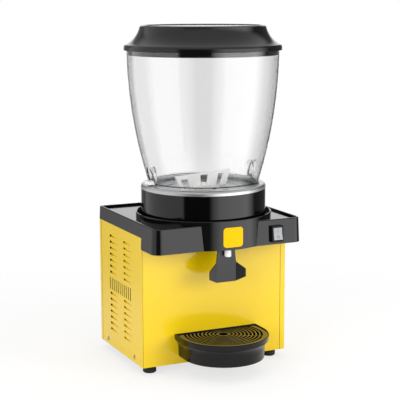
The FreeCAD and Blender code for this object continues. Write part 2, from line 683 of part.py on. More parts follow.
def base_pan():
    """The folded tray that carries the machine, with vent slots under the condenser."""
    body = new_body("base_pan")

    def plan(inset):
        """The pan's outline, with corners bent round like the sheet that they lie in."""
        side = f"(HALF - {inset})"
        back = f"(body_depth - {inset})"
        bend = "bend_radius"
        return [
            (f"-{side}", f"{inset} + {bend}", bend),
            (f"{bend} - {side}", inset),
            (f"{side} - {bend}", inset, bend),
            (side, f"{inset} + {bend}"),
            (side, f"{back} - {bend}", bend),
            (f"{side} - {bend}", back),
            (f"{bend} - {side}", back, bend),
            (f"-{side}", f"{back} - {bend}"),
        ]

    sketch = new_sketch(body, "XY", "BASE")
    add_loop(sketch, plan("sheet"))
    pad(body, sketch, "pan_flange")
    hollow = new_sketch(body, "XY", "BASE + sheet")
    add_loop(hollow, plan("2 * sheet"))
    pocket(body, hollow, "pan_flange", down=True)
    vent = new_sketch(body, "XY", "BASE")
    left = "condenser_gap + sheet - HALF"
    add_loop(
        vent,
        box_loop(
            left,
            "pan_slot_start",
            f"{left} + pan_slot_length",
            "pan_slot_start + pan_slot_width",
        ),
    )
    cut = pocket(body, vent, "sheet", down=True)
    row_of(body, [cut], "Y", "pan_slot_pitch", "pan_slot_count")
    holes = new_sketch(body, "YZ", "-HALF")
    for y in ("screw_inset", "body_depth - screw_inset"):
        add_circle(holes, y, "BASE + screw_height", "screw_shank + screw_clearance")
    pocket(body, holes, "body_width", down=True)
    holes = new_sketch(body, "XZ", "-body_depth")
    for side in ("-1", "1"):
        across = f"{side} * (HALF - rear_screw_inset)"
        add_circle(holes, across, "BASE + screw_height", "screw_shank + screw_clearance")
    pocket(body, holes, "3 * sheet", down=True)
    PARTS.append(body)


def side_panel(label, folded):
    """A left-hand side with its pressed louvres and upright slots, folded round the front or plain."""
    body = new_body(label)
    rear = "body_depth - rear_wrap - seam_gap"
    plan = new_sketch(body, "XY", "BASE")
    fold = [
        ("-HALF", "bend_radius", "bend_radius"),
        ("bend_radius - HALF", "0"),
        ("front_wrap - HALF", "0"),
        ("front_wrap - HALF", "sheet"),
        ("bend_radius - HALF", "sheet", "sheet - bend_radius"),
        ("sheet - HALF", "bend_radius"),
    ]
    edge = [("-HALF", "0"), ("sheet - HALF", "0")]
    add_loop(plan, [("-HALF", rear)] + (fold if folded else edge) + [("sheet - HALF", rear)])
    pad(body, plan, "body_height")
    forms = []
    slope = "2 * louvre_depth / louvre_height"
    ends = (("louvre_start", "louvre_nose"), ("louvre_start + louvre_length", "louvre_height"))
    for top in ("upper_louvre_top", "lower_louvre_top"):
        middle = f"SIDE_TOP - {top} - louvre_pitch * (louvre_rows - 1)"
        for kind, grow in (("AdditiveLoft", "louvre_skin"), ("SubtractiveLoft", "0")):
            sections = []
            for y, tall in ends:
                half = f"({tall} / 2 + {grow})"
                deep = f"{slope} * {half} - HALF"
                corners = [
                    ("-HALF", f"{middle} - {half}"),
                    ("-HALF", f"{middle} + {half}"),
                    (deep, f"{middle} + louvre_flat * {half}"),
                    (deep, f"{middle} - louvre_flat * {half}"),
                ]
                section = new_sketch(body, "XZ", f"-({y})")
                add_loop(section, corners)
                sections.append(section)
            form = body.newObject("PartDesign::" + kind, kind)
            form.Profile = sections[0]
            form.Sections = [sections[1]]
            form.Ruled = True
            forms.append(form)
    row_of(body, forms, "Z", "louvre_pitch", "louvre_rows", "Y", "louvre_column_pitch", "2")
    slot = new_sketch(body, "YZ", "-HALF")
    top = "SIDE_TOP - slot_top"
    add_loop(slot, box_loop("slot_start", f"{top} - slot_height", "slot_start + slot_width", top))
    cut = pocket(body, slot, "sheet", down=True)
    row_of(body, [cut], "Y", "slot_pitch", "slot_count")
    holes = new_sketch(body, "YZ", "-HALF")
    for y in ("screw_inset", "body_depth - screw_inset"):
        add_circle(holes, y, "BASE + screw_height", "screw_shank + screw_clearance")
    pocket(body, holes, "sheet", down=True)
    return body


def side_panels():
    """The plain left side, and the right side that is folded round the front."""
    PARTS.append(side_panel("left_side_panel", False))
    PARTS.append(mirrored("right_side_panel", side_panel("folded_side", True)))


def front_panel():
    """The flat front from the left edge to the right side's fold, with two slots for the tray's hooks."""
    left = "sheet + seam_gap - HALF"
    right = "HALF - front_wrap - seam_gap"
    face = box_loop(left, "0", right, "sheet")
    body = padded("front_panel", "XY", [face], "body_height", "BASE")
    folds = new_sketch(body, "XY", "BASE + pan_flange + seam_gap")
    for outer, inner in ((left, f"{left} + sheet"), (right, f"{right} - sheet")):
        add_loop(folds, box_loop(outer, "sheet", inner, "front_flange"))
    pad(body, folds, "body_height - pan_flange - seam_gap")
    slots = new_sketch(body, "XZ")
    low = "BASE + hook_low"
    high = "BASE + hook_low + hook_neck + tray_lift + hook_clearance"
    half = "hook_width / 2 + hook_clearance"
    for side in ("-1", "1"):
        middle = f"{side} * hook_spread"
        add_loop(slots, box_loop(f"{middle} - ({half})", low, f"{middle} + {half}", high))
    pocket(body, slots, "sheet")
    PARTS.append(body)


def rear_panel():
    """The rear sheet folded round both sides, with vents and holes for gland and thermostat."""
    inner = "HALF - sheet"
    start = "body_depth - rear_wrap"
    bend = "body_depth - bend_radius"
    back = "body_depth - sheet"
    outline = [
        ("HALF", start),
        ("HALF", bend, "bend_radius"),
        ("HALF - bend_radius", "body_depth"),
        ("bend_radius - HALF", "body_depth", "bend_radius"),
        ("-HALF", bend),
        ("-HALF", start),
        (f"-({inner})", start),
        (f"-({inner})", bend, "sheet - bend_radius"),
        ("bend_radius - HALF", back),
        ("HALF - bend_radius", back, "sheet - bend_radius"),
        (inner, bend),
        (inner, start),
    ]
    body = padded("rear_panel", "XY", [outline], "body_height", "BASE")
    vent = new_sketch(body, "XZ", "-body_depth")
    left = "-rear_vent_length - rear_vent_split / 2"
    top = "SIDE_TOP - rear_vent_top - rear_vent_pitch * (rear_vent_rows - 1)"
    add_loop(vent, box_loop(left, f"{top} - rear_vent_height", "-rear_vent_split / 2", top))
    cut = pocket(body, vent, "sheet", down=True)
    across = "rear_vent_length + rear_vent_split"
    row_of(body, [cut], "Z", "rear_vent_pitch", "rear_vent_rows", "X", across, "2")
    holes = new_sketch(body, "XZ", "-body_depth")
    add_circle(holes, "gland_inset - HALF", "BASE + gland_rise", "gland_radius + screw_clearance")
    add_circle(holes, "thermostat_offset", "SIDE_TOP - thermostat_drop", "spindle_hole")
    for side in ("-1", "1"):
        across = f"{side} * (HALF - rear_screw_inset)"
        add_circle(holes, across, "BASE + screw_height", "screw_shank + screw_clearance")
    pocket(body, holes, "sheet", down=True)
    PARTS.append(body)


def body_screws():
    """Pan-headed screws in the sides and the rear, one small group."""
    piece = new_body("screw", y="0")
    sketch = new_sketch(piece, "XZ")
    outline = [
        ("0", "-screw_length"),
        ("screw_shank", "-screw_length"),
        ("screw_shank", "0"),
        ("screw_head", "0"),
        ("screw_face", "screw_proud"),
        ("0", "screw_proud"),
    ]
    add_loop(sketch, outline)
    turned(piece, sketch)
    height = "BASE + screw_height"
    spots = []
    for side, turn in (("-HALF", -90), ("HALF", 90)):
        for y in ("FRONT + screw_inset", "REAR - screw_inset"):
            spots.append((side, y, height, (0, 1, 0), turn))
    for side in ("-1", "1"):
        spots.append((f"{side} * (HALF - rear_screw_inset)", "REAR", height, (1, 0, 0), -90))
    PARTS.append(group_of("body_screws", piece, spots))


def deck_outline(inset, front_corner, rear_corner, rear="deck_rear_overhang"):
    """The deck's plan, drawn in from its sides and front, and from a line behind the body."""
    side = f"DECK_HALF - {inset}"
    front = f"{inset} - wing_reach"
    back = f"body_depth + {rear} - {inset}"
    return [
        (f"-({side})", back + f" - ({rear_corner})"),
        (f"-({side})", f"{front} + ({front_corner})", front_corner),
        (f"({front_corner}) - ({side})", front),
        (f"{side} - ({front_corner})", front, front_corner),
        (side, f"{front} + ({front_corner})"),
        (side, back + f" - ({rear_corner})", rear_corner),
        (f"{side} - ({rear_corner})", back),
        (f"({rear_corner}) - ({side})", back, rear_corner),
    ]


def top_deck():
    """The moulded deck: a rimmed tray with a round well, a front bulge over the tap and a skirt."""
    body = new_body("top_deck")
    lower = "-front_drop * tan(deck_draft)"
    upper = "deck_height * tan(deck_draft)"
    plan = new_sketch(body, "XY", "SKIRT")
    add_loop(plan, deck_outline(lower, "deck_corner", "deck_rear_corner"))
    pad(body, plan, "DECK_TOP - SKIRT", lean="-deck_draft")
    soften(body, "Fillet", "rim_round", level_edges(body, "DECK_TOP"))
    rounded = level_edges(body, "DECK_TOP").values()
    recess = new_sketch(body, "XY", "DECK_TOP")
    corner = "deck_corner - rim_width - deck_wall"
    add_loop(recess, deck_outline(f"(rim_width + {upper})", corner, "rim_inner_corner"))
    pocket(body, recess, "rim_drop")
    inner_edges = [
        name
        for name, middle in level_edges(body, "DECK_TOP").items()
        if all(middle.distanceToPoint(other) > CLOSE for other in rounded)
    ]
    soften(body, "Chamfer", "edge_break", inner_edges)
    hollow = new_sketch(body, "XY", "SKIRT")
    inner = f"(deck_wall + {lower})"
    corners = ("deck_corner - deck_wall", "deck_rear_corner - deck_wall")
    add_loop(hollow, deck_outline(inner, *corners, "deck_overhang"))
    pocket(body, hollow, "DECK_FLOOR - deck_wall - SKIRT", down=True, lean="-deck_draft")
    ring = new_sketch(body, "XY", "SKIRT")
    add_circle(ring, "0", "axis_inset", "well_radius")
    pad(body, ring, "LIP_TOP - SKIRT")
    well = new_sketch(body, "XY", "LIP_TOP")
    add_circle(well, "0", "axis_inset", "WELL_INNER")
    pocket(body, well, "LIP_TOP - WELL_TOP")
    under = new_sketch(body, "XY", "SKIRT")
    add_circle(under, "0", "axis_inset", "WELL_INNER")
    pocket(body, under, "WELL_UNDER - SKIRT", down=True)
    opening = new_sketch(body, "XY", "WELL_TOP")
    add_circle(opening, "0", "axis_inset", "well_opening")
    pocket(body, opening, "deck_wall")
    behind = new_sketch(body, "XY", "SKIRT")
    add_loop(behind, box_loop("-body_width", "0", "body_width", "2 * body_depth"))
    pocket(body, behind, "front_drop", down=True)
    cutout = new_sketch(body, "XZ", "wing_reach - 2 * deck_wall")
    half = "switch_body_width / 2 + screw_clearance"
    tall = "switch_body_height / 2 + screw_clearance"
    rise = "SKIRT + switch_rise"
    left = f"DECK_HALF - switch_inset - ({half})"
    right = f"DECK_HALF - switch_inset + {half}"
    add_loop(cutout, box_loop(left, f"{rise} - ({tall})", right, f"{rise} + {tall}"))
    pocket(body, cutout, "4 * deck_wall", down=True)
    ribs = new_sketch(body, "XY", "DECK_FLOOR - deck_wall")
    wall = "DECK_HALF - deck_wall / 2 - deck_height * tan(deck_draft)"
    ring_middle = "(well_radius - well_wall / 2)"
    rows = (("-wing_reach / 3", "axis_inset + wing_reach / 3"), ("axis_inset", "0"))
    for side in ("-1", "1"):
        for y, away in rows:
            near = f"{side} * sqrt({ring_middle} ^ 2 - ({away}) ^ 2)"
            add_loop(ribs, box_loop(near, y, f"{side} * ({wall})", f"{y} + rib_thickness"))
    half = "rib_thickness / 2"
    rear = "body_depth - deck_wall / 2"
    add_loop(ribs, box_loop(f"-{half}", f"axis_inset + {ring_middle}", half, rear))
    pad(body, ribs, "rib_height", down=True)
    soften(body, "Chamfer", "edge_break", level_edges(body, "LIP_TOP"))
    PARTS.append(body)


def collar():
    """The black collar round the cooled plate, with a foot flange on the well floor."""
    inner = "collar_radius - collar_wall"
    outline = [
        ("collar_foot", "0"),
        ("collar_radius", "0"),
        ("collar_radius", "collar_height"),
        (inner, "collar_height"),
        (inner, "collar_wall"),
        ("collar_foot", "collar_wall"),
    ]
    PARTS.append(revolved("cooling_collar", outline, ("0", "AXIS", "WELL_TOP")))


def cold_plate():
    """The spun stainless plate: rolled ring, bowl seat, stepped floor and the paddle's pin."""
    outer = "collar_radius"
    top = "RING_TOP"
    outline = [
        (outer, "COLLAR_TOP"),
        (outer, f"{top} - ring_shoulder", "ring_shoulder"),
        (f"{outer} - ring_shoulder", top),
        ("ring_inner", top, "ring_lip"),
        ("SEAT_WALL", f"{top} - ring_lip"),
        ("SEAT_WALL", "SEAT"),
        ("step_radius", "SEAT"),
        ("step_radius", "PLATE_TOP + step_rise"),
        ("disc_radius", "PLATE_TOP + step_rise"),
        ("disc_radius", "PLATE_TOP"),
        ("pin_radius", "PLATE_TOP"),
        ("pin_radius", "PLATE_TOP + pin_height"),
        ("0", "PLATE_TOP + pin_height"),
        ("0", "PLATE_UNDER"),
        ("disc_radius + steel", "PLATE_UNDER"),
        ("disc_radius + steel", "PLATE_UNDER + step_rise"),
        ("step_radius + steel", "PLATE_UNDER + step_rise"),
        ("step_radius + steel", "SEAT - steel"),
        ("SEAT_WALL + steel", "SEAT - steel"),
        ("SEAT_WALL + steel", f"{top} - ring_lip", "steel - ring_lip"),
        ("ring_inner", f"{top} - steel"),
        (f"{outer} - ring_shoulder", f"{top} - steel", "steel - ring_shoulder"),
        (f"{outer} - steel", f"{top} - ring_shoulder"),
        (f"{outer} - steel", "COLLAR_TOP"),
    ]
    body = revolved("cold_plate", outline)
    hole = new_sketch(body, "XY", "PLATE_UNDER")
    add_circle(hole, "0", "-outlet_reach", "outlet_radius + foam_gap")
    pocket(body, hole, "step_rise + steel", down=True)
    PARTS.append(body)


def bowl_gasket():
    outer = "SEAT_WALL - foam_gap"
    outline = box_loop(f"{outer} - gasket_width", "0", outer, "gasket_height")
    PARTS.append(revolved("bowl_gasket", outline, ("0", "AXIS", "SEAT")))


def insulation():
    """Foam under the plate, stepped to the collar, with holes for drive and pipes."""
    wide = "collar_radius - collar_wall - foam_gap"
    narrow = "well_opening - foam_gap"
    low = "WELL_UNDER + foam_gap"
    shelf = "WELL_TOP + collar_wall + foam_gap"
    seat = "SEAT - steel - foam_gap"
    step = "PLATE_UNDER + step_rise - foam_gap"
    under = "PLATE_UNDER - jacket_height - foam_gap"
    outline = [
        ("foam_bore", low),
        (narrow, low),
        (narrow, shelf),
        (wide, shelf),
        (wide, seat),
        ("step_radius + steel + foam_gap", seat),
        ("step_radius + steel + foam_gap", step),
        ("disc_radius + 2 * steel", step),
        ("disc_radius + 2 * steel", under),
        ("foam_bore", under),
    ]
    body = revolved("insulation", outline)
    holes = new_sketch(body, "XY", low)
    add_circle(holes, "0", "-outlet_reach", "outlet_radius + foam_gap")
    add_circle(holes, "0", "suction_reach", "pipe_radius + foam_gap")
    pocket(body, holes, "RING_TOP - WELL_TOP", down=True)
    PARTS.append(body)


def outlet_tube():
    """The tube that leads the drink from the plate down to the tap."""
    body = new_body("outlet_tube", "0", "AXIS - outlet_reach")
    sketch = new_sketch(body, "XY", "BLOCK_TOP")
    add_circle(sketch, "0", "0", "outlet_radius")
    add_circle(sketch, "0", "0", "outlet_radius - outlet_wall")
    pad(body, sketch, "PLATE_TOP + step_rise - BLOCK_TOP")
    PARTS.append(body)


def evaporator():
    """The flooded jacket under the plate and the suction pipe that leaves it."""
    outline = box_loop("jacket_inner", "0", "jacket_outer", "jacket_height")
    place = ("0", "AXIS", "PLATE_UNDER - jacket_height")
    PARTS.append(revolved("evaporator_jacket", outline, place))


def mixer_drive():
    """Strap, gear motor with its shaft, and the driving magnet under the plate."""
    strap = padded(
        "motor_strap",
        "XY",
        [box_loop("-strap_length / 2", "-strap_width / 2", "strap_length / 2", "strap_width / 2")],
        "strap_sheet",
        "STRAP_TOP - strap_sheet",
        AXIS_PLACE,
    )
    hole = new_sketch(strap, "XY", "STRAP_TOP - strap_sheet")
    add_circle(hole, "0", "0", "motor_can_radius + foam_gap")
    pocket(strap, hole, "strap_sheet", down=True)
    PARTS.append(strap)
    outline = [
        ("0", "STRAP_TOP - motor_can_height"),
        ("motor_can_radius - motor_can_bevel", "STRAP_TOP - motor_can_height"),
        ("motor_can_radius", "STRAP_TOP - motor_can_height + motor_can_bevel"),
        ("motor_can_radius", "STRAP_TOP"),
        ("motor_radius", "STRAP_TOP"),
        ("motor_radius", "MOTOR_TOP"),
        ("shaft_radius", "MOTOR_TOP"),
        ("shaft_radius", "MAGNET_TOP - shaft_short"),
        ("0", "MAGNET_TOP - shaft_short"),
    ]
    PARTS.append(revolved("mixer_motor", outline))
    bore = "shaft_radius + running_fit"
    rotor = [
        (bore, "MAGNET_TOP - magnet_height - magnet_hub_height"),
        ("magnet_hub", "MAGNET_TOP - magnet_height - magnet_hub_height"),
        ("magnet_hub", "MAGNET_TOP - magnet_height"),
        ("magnet_radius", "MAGNET_TOP - magnet_height"),
        ("magnet_radius", "MAGNET_TOP"),
        ("0", "MAGNET_TOP"),
        ("0", "MAGNET_TOP - magnet_skin"),
        (bore, "MAGNET_TOP - magnet_skin"),
    ]
    PARTS.append(revolved("drive_magnet", rotor))


def turned_about(body, axis, angle):
    """Turn a body's placement about one of the main axes by an angle from the sheet."""
    body.Placement.Rotation = FreeCAD.Rotation(FreeCAD.Vector(*axis), 1)
    bind(body, Placement__Rotation__Angle=angle)


# The blade's windows: ends of the lower edge and of the upper edge as shares of the blade's
# half lengths, and the band left over the window as a share of the paddle's band.
PADDLE_WINDOWS = (
    (-0.817, -0.563, -0.575, -0.814, 1.8),
    (-0.105, 0.124, 0.170, -0.126, 1),
    (0.518, 0.708, 0.766, 0.551, 1),
)


def mixer_paddle():
    """The white paddle: a low magnet hub and an upright comb-like blade with leaning arms."""
    body = new_body("mixer_paddle", "0", "AXIS", "PLATE_TOP + paddle_gap")
    turned_about(body, (0, 0, 1), "paddle_turn")
    half = "paddle_length / 2"
    foot = "paddle_foot_length / 2"
    blade = new_sketch(body, "XZ")
    corners = [(f"-{foot}", "0"), (foot, "0"), (half, "paddle_height"), (f"-{half}", "paddle_height")]
    add_loop(blade, corners)
    pad(body, blade, "paddle_blade", middle=True)
    windows = new_sketch(body, "XZ")
    for low_left, low_right, top_right, top_left, band in PADDLE_WINDOWS:
        high = f"paddle_height - {band} * paddle_band"
        corners = [
            (f"{low_left} * {foot}", "-paddle_blade"),
            (f"{low_right} * {foot}", "-paddle_blade"),
            (f"{top_right} * {half}", high),
            (f"{top_left} * {half}", high),
        ]
        add_loop(windows, corners)
    pocket(body, windows, "2 * paddle_blade", middle=True)
    socket = "pin_radius + paddle_socket_wall"
    top = "pin_height - paddle_gap + paddle_socket_wall"
    hub = new_sketch(body, "XZ")
    outline = [
        ("0", "0"),
        ("hub_radius", "0"),
        ("hub_radius", "hub_edge * hub_height"),
        ("hub_crown * hub_radius", "hub_height"),
        (f"{socket} + socket_cone", "hub_height"),
        (socket, "hub_height + socket_cone"),
        (socket, top),
        ("0", top),
    ]
    add_loop(hub, outline)
    turned(body, hub)
    bore = new_sketch(body, "XY")
    add_circle(bore, "0", "0", "pin_radius + running_fit")
    pocket(body, bore, "pin_height - paddle_gap + paddle_end_gap", down=True)
    PARTS.append(body)


def niche_loop(grow, low):
    """An arched window, wide at its foot and round at its top."""
    half = f"(niche_width / 2 + {grow})"
    spring = "spigot_height + niche_height - niche_width / 2"
    return [
        (f"-{half}", low),
        (half, low),
        (half, spring, half),
        ("0", f"{spring} + {half}", half),
        (f"-{half}", spring),
    ]


def bowl():
    """The clear bowl: a spigot in the ring, a bellied flare and an arched niche over each lug."""
    solid = new_body("bowl_outside", "0", "AXIS", "BOWL_LOW")
    outer = new_sketch(solid, "XZ")
    outline = [
        ("0", "0"),
        ("SPIGOT", "0"),
        ("SPIGOT", "spigot_height - bowl_wall"),
        ("bowl_foot_radius", "spigot_height", "bowl_curve"),
        ("bowl_top_radius", "bowl_height"),
        ("0", "bowl_height"),
    ]
    add_loop(outer, outline)
    turned(solid, outer)
    for side in ("-1", "1"):
        niche = new_sketch(solid, "YZ", f"{side} * niche_reach")
        add_loop(niche, niche_loop("0", "spigot_height - 2 * bowl_wall"))
        pocket(solid, niche, "niche_reach", down=side == "1")
    hollow = new_body("bowl_inside", "0", "AXIS", "BOWL_LOW")
    inner = new_sketch(hollow, "XZ")
    flare = "spigot_height + 2 * spigot_flare / 3"
    outline = [
        ("0", "-bowl_wall"),
        ("SPIGOT - bowl_wall", "-bowl_wall"),
        ("SPIGOT - bowl_wall", f"{flare} - spigot_flare"),
        ("bowl_foot_radius - bowl_wall", flare, "bowl_curve - bowl_wall"),
        ("bowl_top_radius - bowl_wall", "bowl_height"),
        ("bowl_top_radius - bowl_wall", "bowl_height + bowl_wall"),
        ("0", "bowl_height + bowl_wall"),
    ]
    add_loop(inner, outline)
    turned(hollow, inner)
    for side in ("-1", "1"):
        wall = new_sketch(hollow, "YZ", f"{side} * (niche_reach - bowl_wall)")
        add_loop(wall, niche_loop("bowl_wall", "-2 * bowl_wall"))
        pocket(hollow, wall, "niche_reach", down=side == "1")
    shell = doc.addObject("Part::Cut", "bowl")
    shell.Label = "bowl"
    shell.Base = solid
    shell.Tool = hollow
    PARTS.append(shell)


def bowl_lugs():
    """The two white lugs in the niches, a little over the steel ring."""
    body = new_body("bowl_lugs", "0", "AXIS", "RING_TOP")
    sketch = new_sketch(body, "XY", "lug_lift")
    for side in ("-1", "1"):
        near = f"{side} * niche_reach"
        far = f"{side} * (niche_reach + lug_length)"
        add_loop(sketch, box_loop(near, "-lug_width / 2", far, "lug_width / 2"))
    pad(body, sketch, "lug_height")
    PARTS.append(body)


def lid():
    """The moulded lid: an upright rim, a hollow flank, a sunk top panel and a skirt in the bowl."""
    skirt = "bowl_top_radius - bowl_wall - lid_clearance"
    foot = "lid_band + lid_step"
    inner_foot = "lid_band + lid_step - lid_foot_wall"
    top = "lid_height - lid_crown"
    panel = "lid_height - lid_panel_drop"
    inner_top = f"{panel} - lid_wall"

    def flank(height, radius):
        return f"lid_flank_radius - sqrt(({radius}) ^ 2 - ({height} - lid_flank_height) ^ 2)"

    curve = "lid_curve + lid_wall"
    outline = [
        ("lid_radius", "0"),
        ("lid_radius", "lid_band"),
        ("lid_radius - lid_step / 2", foot),
        (flank(foot, "lid_curve"), foot, "-lid_curve"),
        (flank(top, "lid_curve"), top),
        ("lid_top_radius - lid_crown", "lid_height"),
        ("lid_top_radius - lid_rim", "lid_height"),
        ("lid_top_radius - lid_rim - lid_panel_drop", panel),
        ("0", panel),
        ("0", inner_top),
        (flank(inner_top, curve), inner_top, curve),
        (flank(inner_foot, curve), inner_foot),
        (f"{skirt} - lid_wall", inner_foot),
        (f"{skirt} - lid_wall", "-lid_skirt"),
        (skirt, "-lid_skirt"),
        (skirt, "lid_channel"),
        ("lid_radius - lid_wall", "lid_channel"),
        ("lid_radius - lid_wall", "0"),
    ]
    PARTS.append(revolved("lid", outline, ("0", "AXIS", "LID_LOW")))


def tap_block():
    """The valve block hung from the well floor on two posts, with its column and inlet."""
    body = new_body("tap_block")
    column = new_sketch(body, "XY", "BLOCK_LOW")
    add_loop(column, box_loop("-block_half", "-block_front", "block_half", "column_depth - block_front"))
    pad(body, column, "block_height")
    rear = new_sketch(body, "XY", "BLOCK_TOP")
    add_loop(rear, box_loop("-block_half", "column_depth - block_front", "block_half", "-block_back"))
    pad(body, rear, "block_height / 2", down=True)
    bar = new_sketch(body, "XY", "BLOCK_TOP")
    add_loop(bar, box_loop("-post_half", "-block_back - bar_depth", "post_half", "-block_back"))
    pad(body, bar, "block_height / 2", down=True)
    posts = new_sketch(body, "XY", "BLOCK_TOP - block_height / 2")
    for side in ("-1", "1"):
        outer = f"{side} * post_half"
        inner = f"{side} * (post_half - post_width)"
        add_loop(posts, box_loop(outer, "-post_front", inner, "-block_back"))
    pad(body, posts, "WELL_UNDER - BLOCK_TOP + block_height / 2")
    valve = new_sketch(body, "XY", "BLOCK_LOW")
    add_circle(valve, "0", "-spout_reach", "plunger_radius + running_fit")
    pocket(body, valve, "block_height", down=True)
    inlet = new_sketch(body, "XY", "BLOCK_TOP")
    add_circle(inlet, "0", "axis_inset - outlet_reach", "outlet_radius - outlet_wall")
    pocket(body, inlet, "channel_drop")
    channel = new_sketch(body, "XZ", "spout_reach")
    add_circle(channel, "0", "BLOCK_TOP - channel_drop", "channel_radius")
    pocket(body, channel, "spout_reach + axis_inset - outlet_reach")
    pin = new_sketch(body, "YZ")
    add_circle(pin, "-pivot_reach", "PIVOT", "pivot_radius")
    pocket(body, pin, "2 * block_half", middle=True)
    PARTS.append(body)


def tap_spout():
    """The white spout under the bulge, with the bore that the plunger closes."""
    body = new_body("tap_spout", "0", "FRONT - spout_reach")
    sketch = new_sketch(body, "XY", "BLOCK_LOW")
    add_circle(sketch, "0", "0", "spout_radius")
    add_circle(sketch, "0", "0", "spout_radius - spout_wall")
    pad(body, sketch, "BLOCK_LOW - SKIRT + spout_drop", down=True)
    PARTS.append(body)


def valve_plunger():
    """The plunger with the head that the lever's fingers lift."""
    low = "BLOCK_TOP - channel_drop - channel_radius - plunger_below"
    outline = [
        ("0", low),
        ("plunger_radius", low),
        ("plunger_radius", "HEAD_LOW"),
        ("plunger_head", "HEAD_LOW"),
        ("plunger_head", "HEAD_LOW + head_height"),
        ("0", "HEAD_LOW + head_height"),
    ]
    PARTS.append(revolved("valve_plunger", outline, ("0", "FRONT - spout_reach", "0")))


def valve_spring():
    """The flat-wire coil spring between the plunger's head and the well floor."""
    low = "HEAD_LOW + head_height"
    body = new_body("valve_spring", "0", "FRONT - spout_reach")
    section = new_sketch(body, "XZ")
    add_loop(
        section,
        box_loop(
            "spring_radius - spring_wire / 2",
            low,
            "spring_radius + spring_wire / 2",
            f"{low} + spring_wire",
        ),
    )
    coil = feature(
        body,
        "AdditiveHelix",
        Height=f"WELL_UNDER - spring_wire - ({low})",
        Turns="spring_turns",
    )
    coil.Profile = section
    coil.ReferenceAxis = (section, ["V_Axis"])
    coil.Mode = "height-turns-angle"
    PARTS.append(body)


def lever_pin():
    reach = "block_half + ear_gap + lever_plate + pin_reach"
    body = new_body("lever_pin", y="FRONT - pivot_reach")
    sketch = new_sketch(body, "YZ")
    add_circle(sketch, "0", "PIVOT", "pivot_radius")
    pad(body, sketch, f"2 * ({reach})", middle=True)
    PARTS.append(body)


def tap_lever():
    """The cup lever: a neck, two wings folded forwards, ears on the pin and two lifting fingers."""
    body = new_body("tap_lever")
    low = "SKIRT - lever_low"
    neck = "SKIRT + neck_high"
    hip = "SKIRT - hip_high"
    plate = new_sketch(body, "XZ", "lever_reach - lever_plate")
    add_loop(
        plate,
        [
            ("-lever_hip", low),
            ("lever_hip", low),
            ("lever_hip", hip),
            ("lever_half", "SKIRT - neck_low"),
            ("lever_half", neck),
            ("-lever_half", neck),
            ("-lever_half", "SKIRT - neck_low"),
            ("-lever_hip", hip),
        ],
    )
    pad(body, plate, "lever_plate")
    for side in ("-1", "1"):
        wing = body.newObject("PartDesign::AdditiveLoft", "Wing")
        sections = []
        face = "lever_reach - lever_plate"
        for x, y, high, foot in (
            ("lever_hip - wing_overlap", face, hip, low),
            ("lever_tip", f"{face} + lever_flare", "SKIRT - wing_high", "SKIRT - wing_low"),
        ):
            section = new_sketch(body, "YZ", f"{side} * ({x})")
            near = f"-({y})"
            far = f"-({y}) - lever_plate"
            add_loop(section, box_loop(near, foot, far, high))
            sections.append(section)
        wing.Profile = sections[0]
        wing.Sections = [sections[1]]
        wing.Ruled = True
        body.Tip = wing
    inner = "block_half + ear_gap"
    pivot = "-pivot_reach"
    back = "lever_plate - lever_reach"
    shelf = "BLOCK_TOP + ear_gap"
    start = f"{pivot} + finger_start"
    end = f"{pivot} + finger_end"
    ear = new_sketch(body, "YZ", inner)
    corners = [
        ("-lever_reach", "SKIRT - neck_low"),
        (back, "SKIRT - neck_low"),
        (back, neck),
        (f"{end} - finger_start / 2", "PIVOT + pivot_boss"),
        (end, shelf),
        (end, f"{shelf} + FINGER"),
        (start, f"{shelf} + FINGER"),
        (f"{pivot} - pivot_boss", "PIVOT + pivot_boss / 2"),
        (f"{pivot} - pivot_boss", "PIVOT - pivot_boss / 2"),
        (f"{pivot} - pivot_boss / 2", "PIVOT - pivot_boss"),
        (f"{pivot} + pivot_boss", "PIVOT - pivot_boss"),
    ]
    add_loop(ear, corners)
    add_circle(ear, pivot, "PIVOT", "pivot_radius + running_fit")
    first = pad(body, ear, "lever_plate")
    finger = new_sketch(body, "XY", shelf)
    near = "plunger_radius + ear_gap"
    add_loop(finger, box_loop(near, start, f"{inner} + lever_plate / 2", end))
    second = pad(body, finger, "FINGER")
    doc.recompute()
    other = body.newObject("PartDesign::Mirrored", "Mirrored")
    other.Originals = [first, second]
    other.MirrorPlane = (origin_of(body, "YZ_Plane"), [""])
    body.Tip = other
    PARTS.append(body)


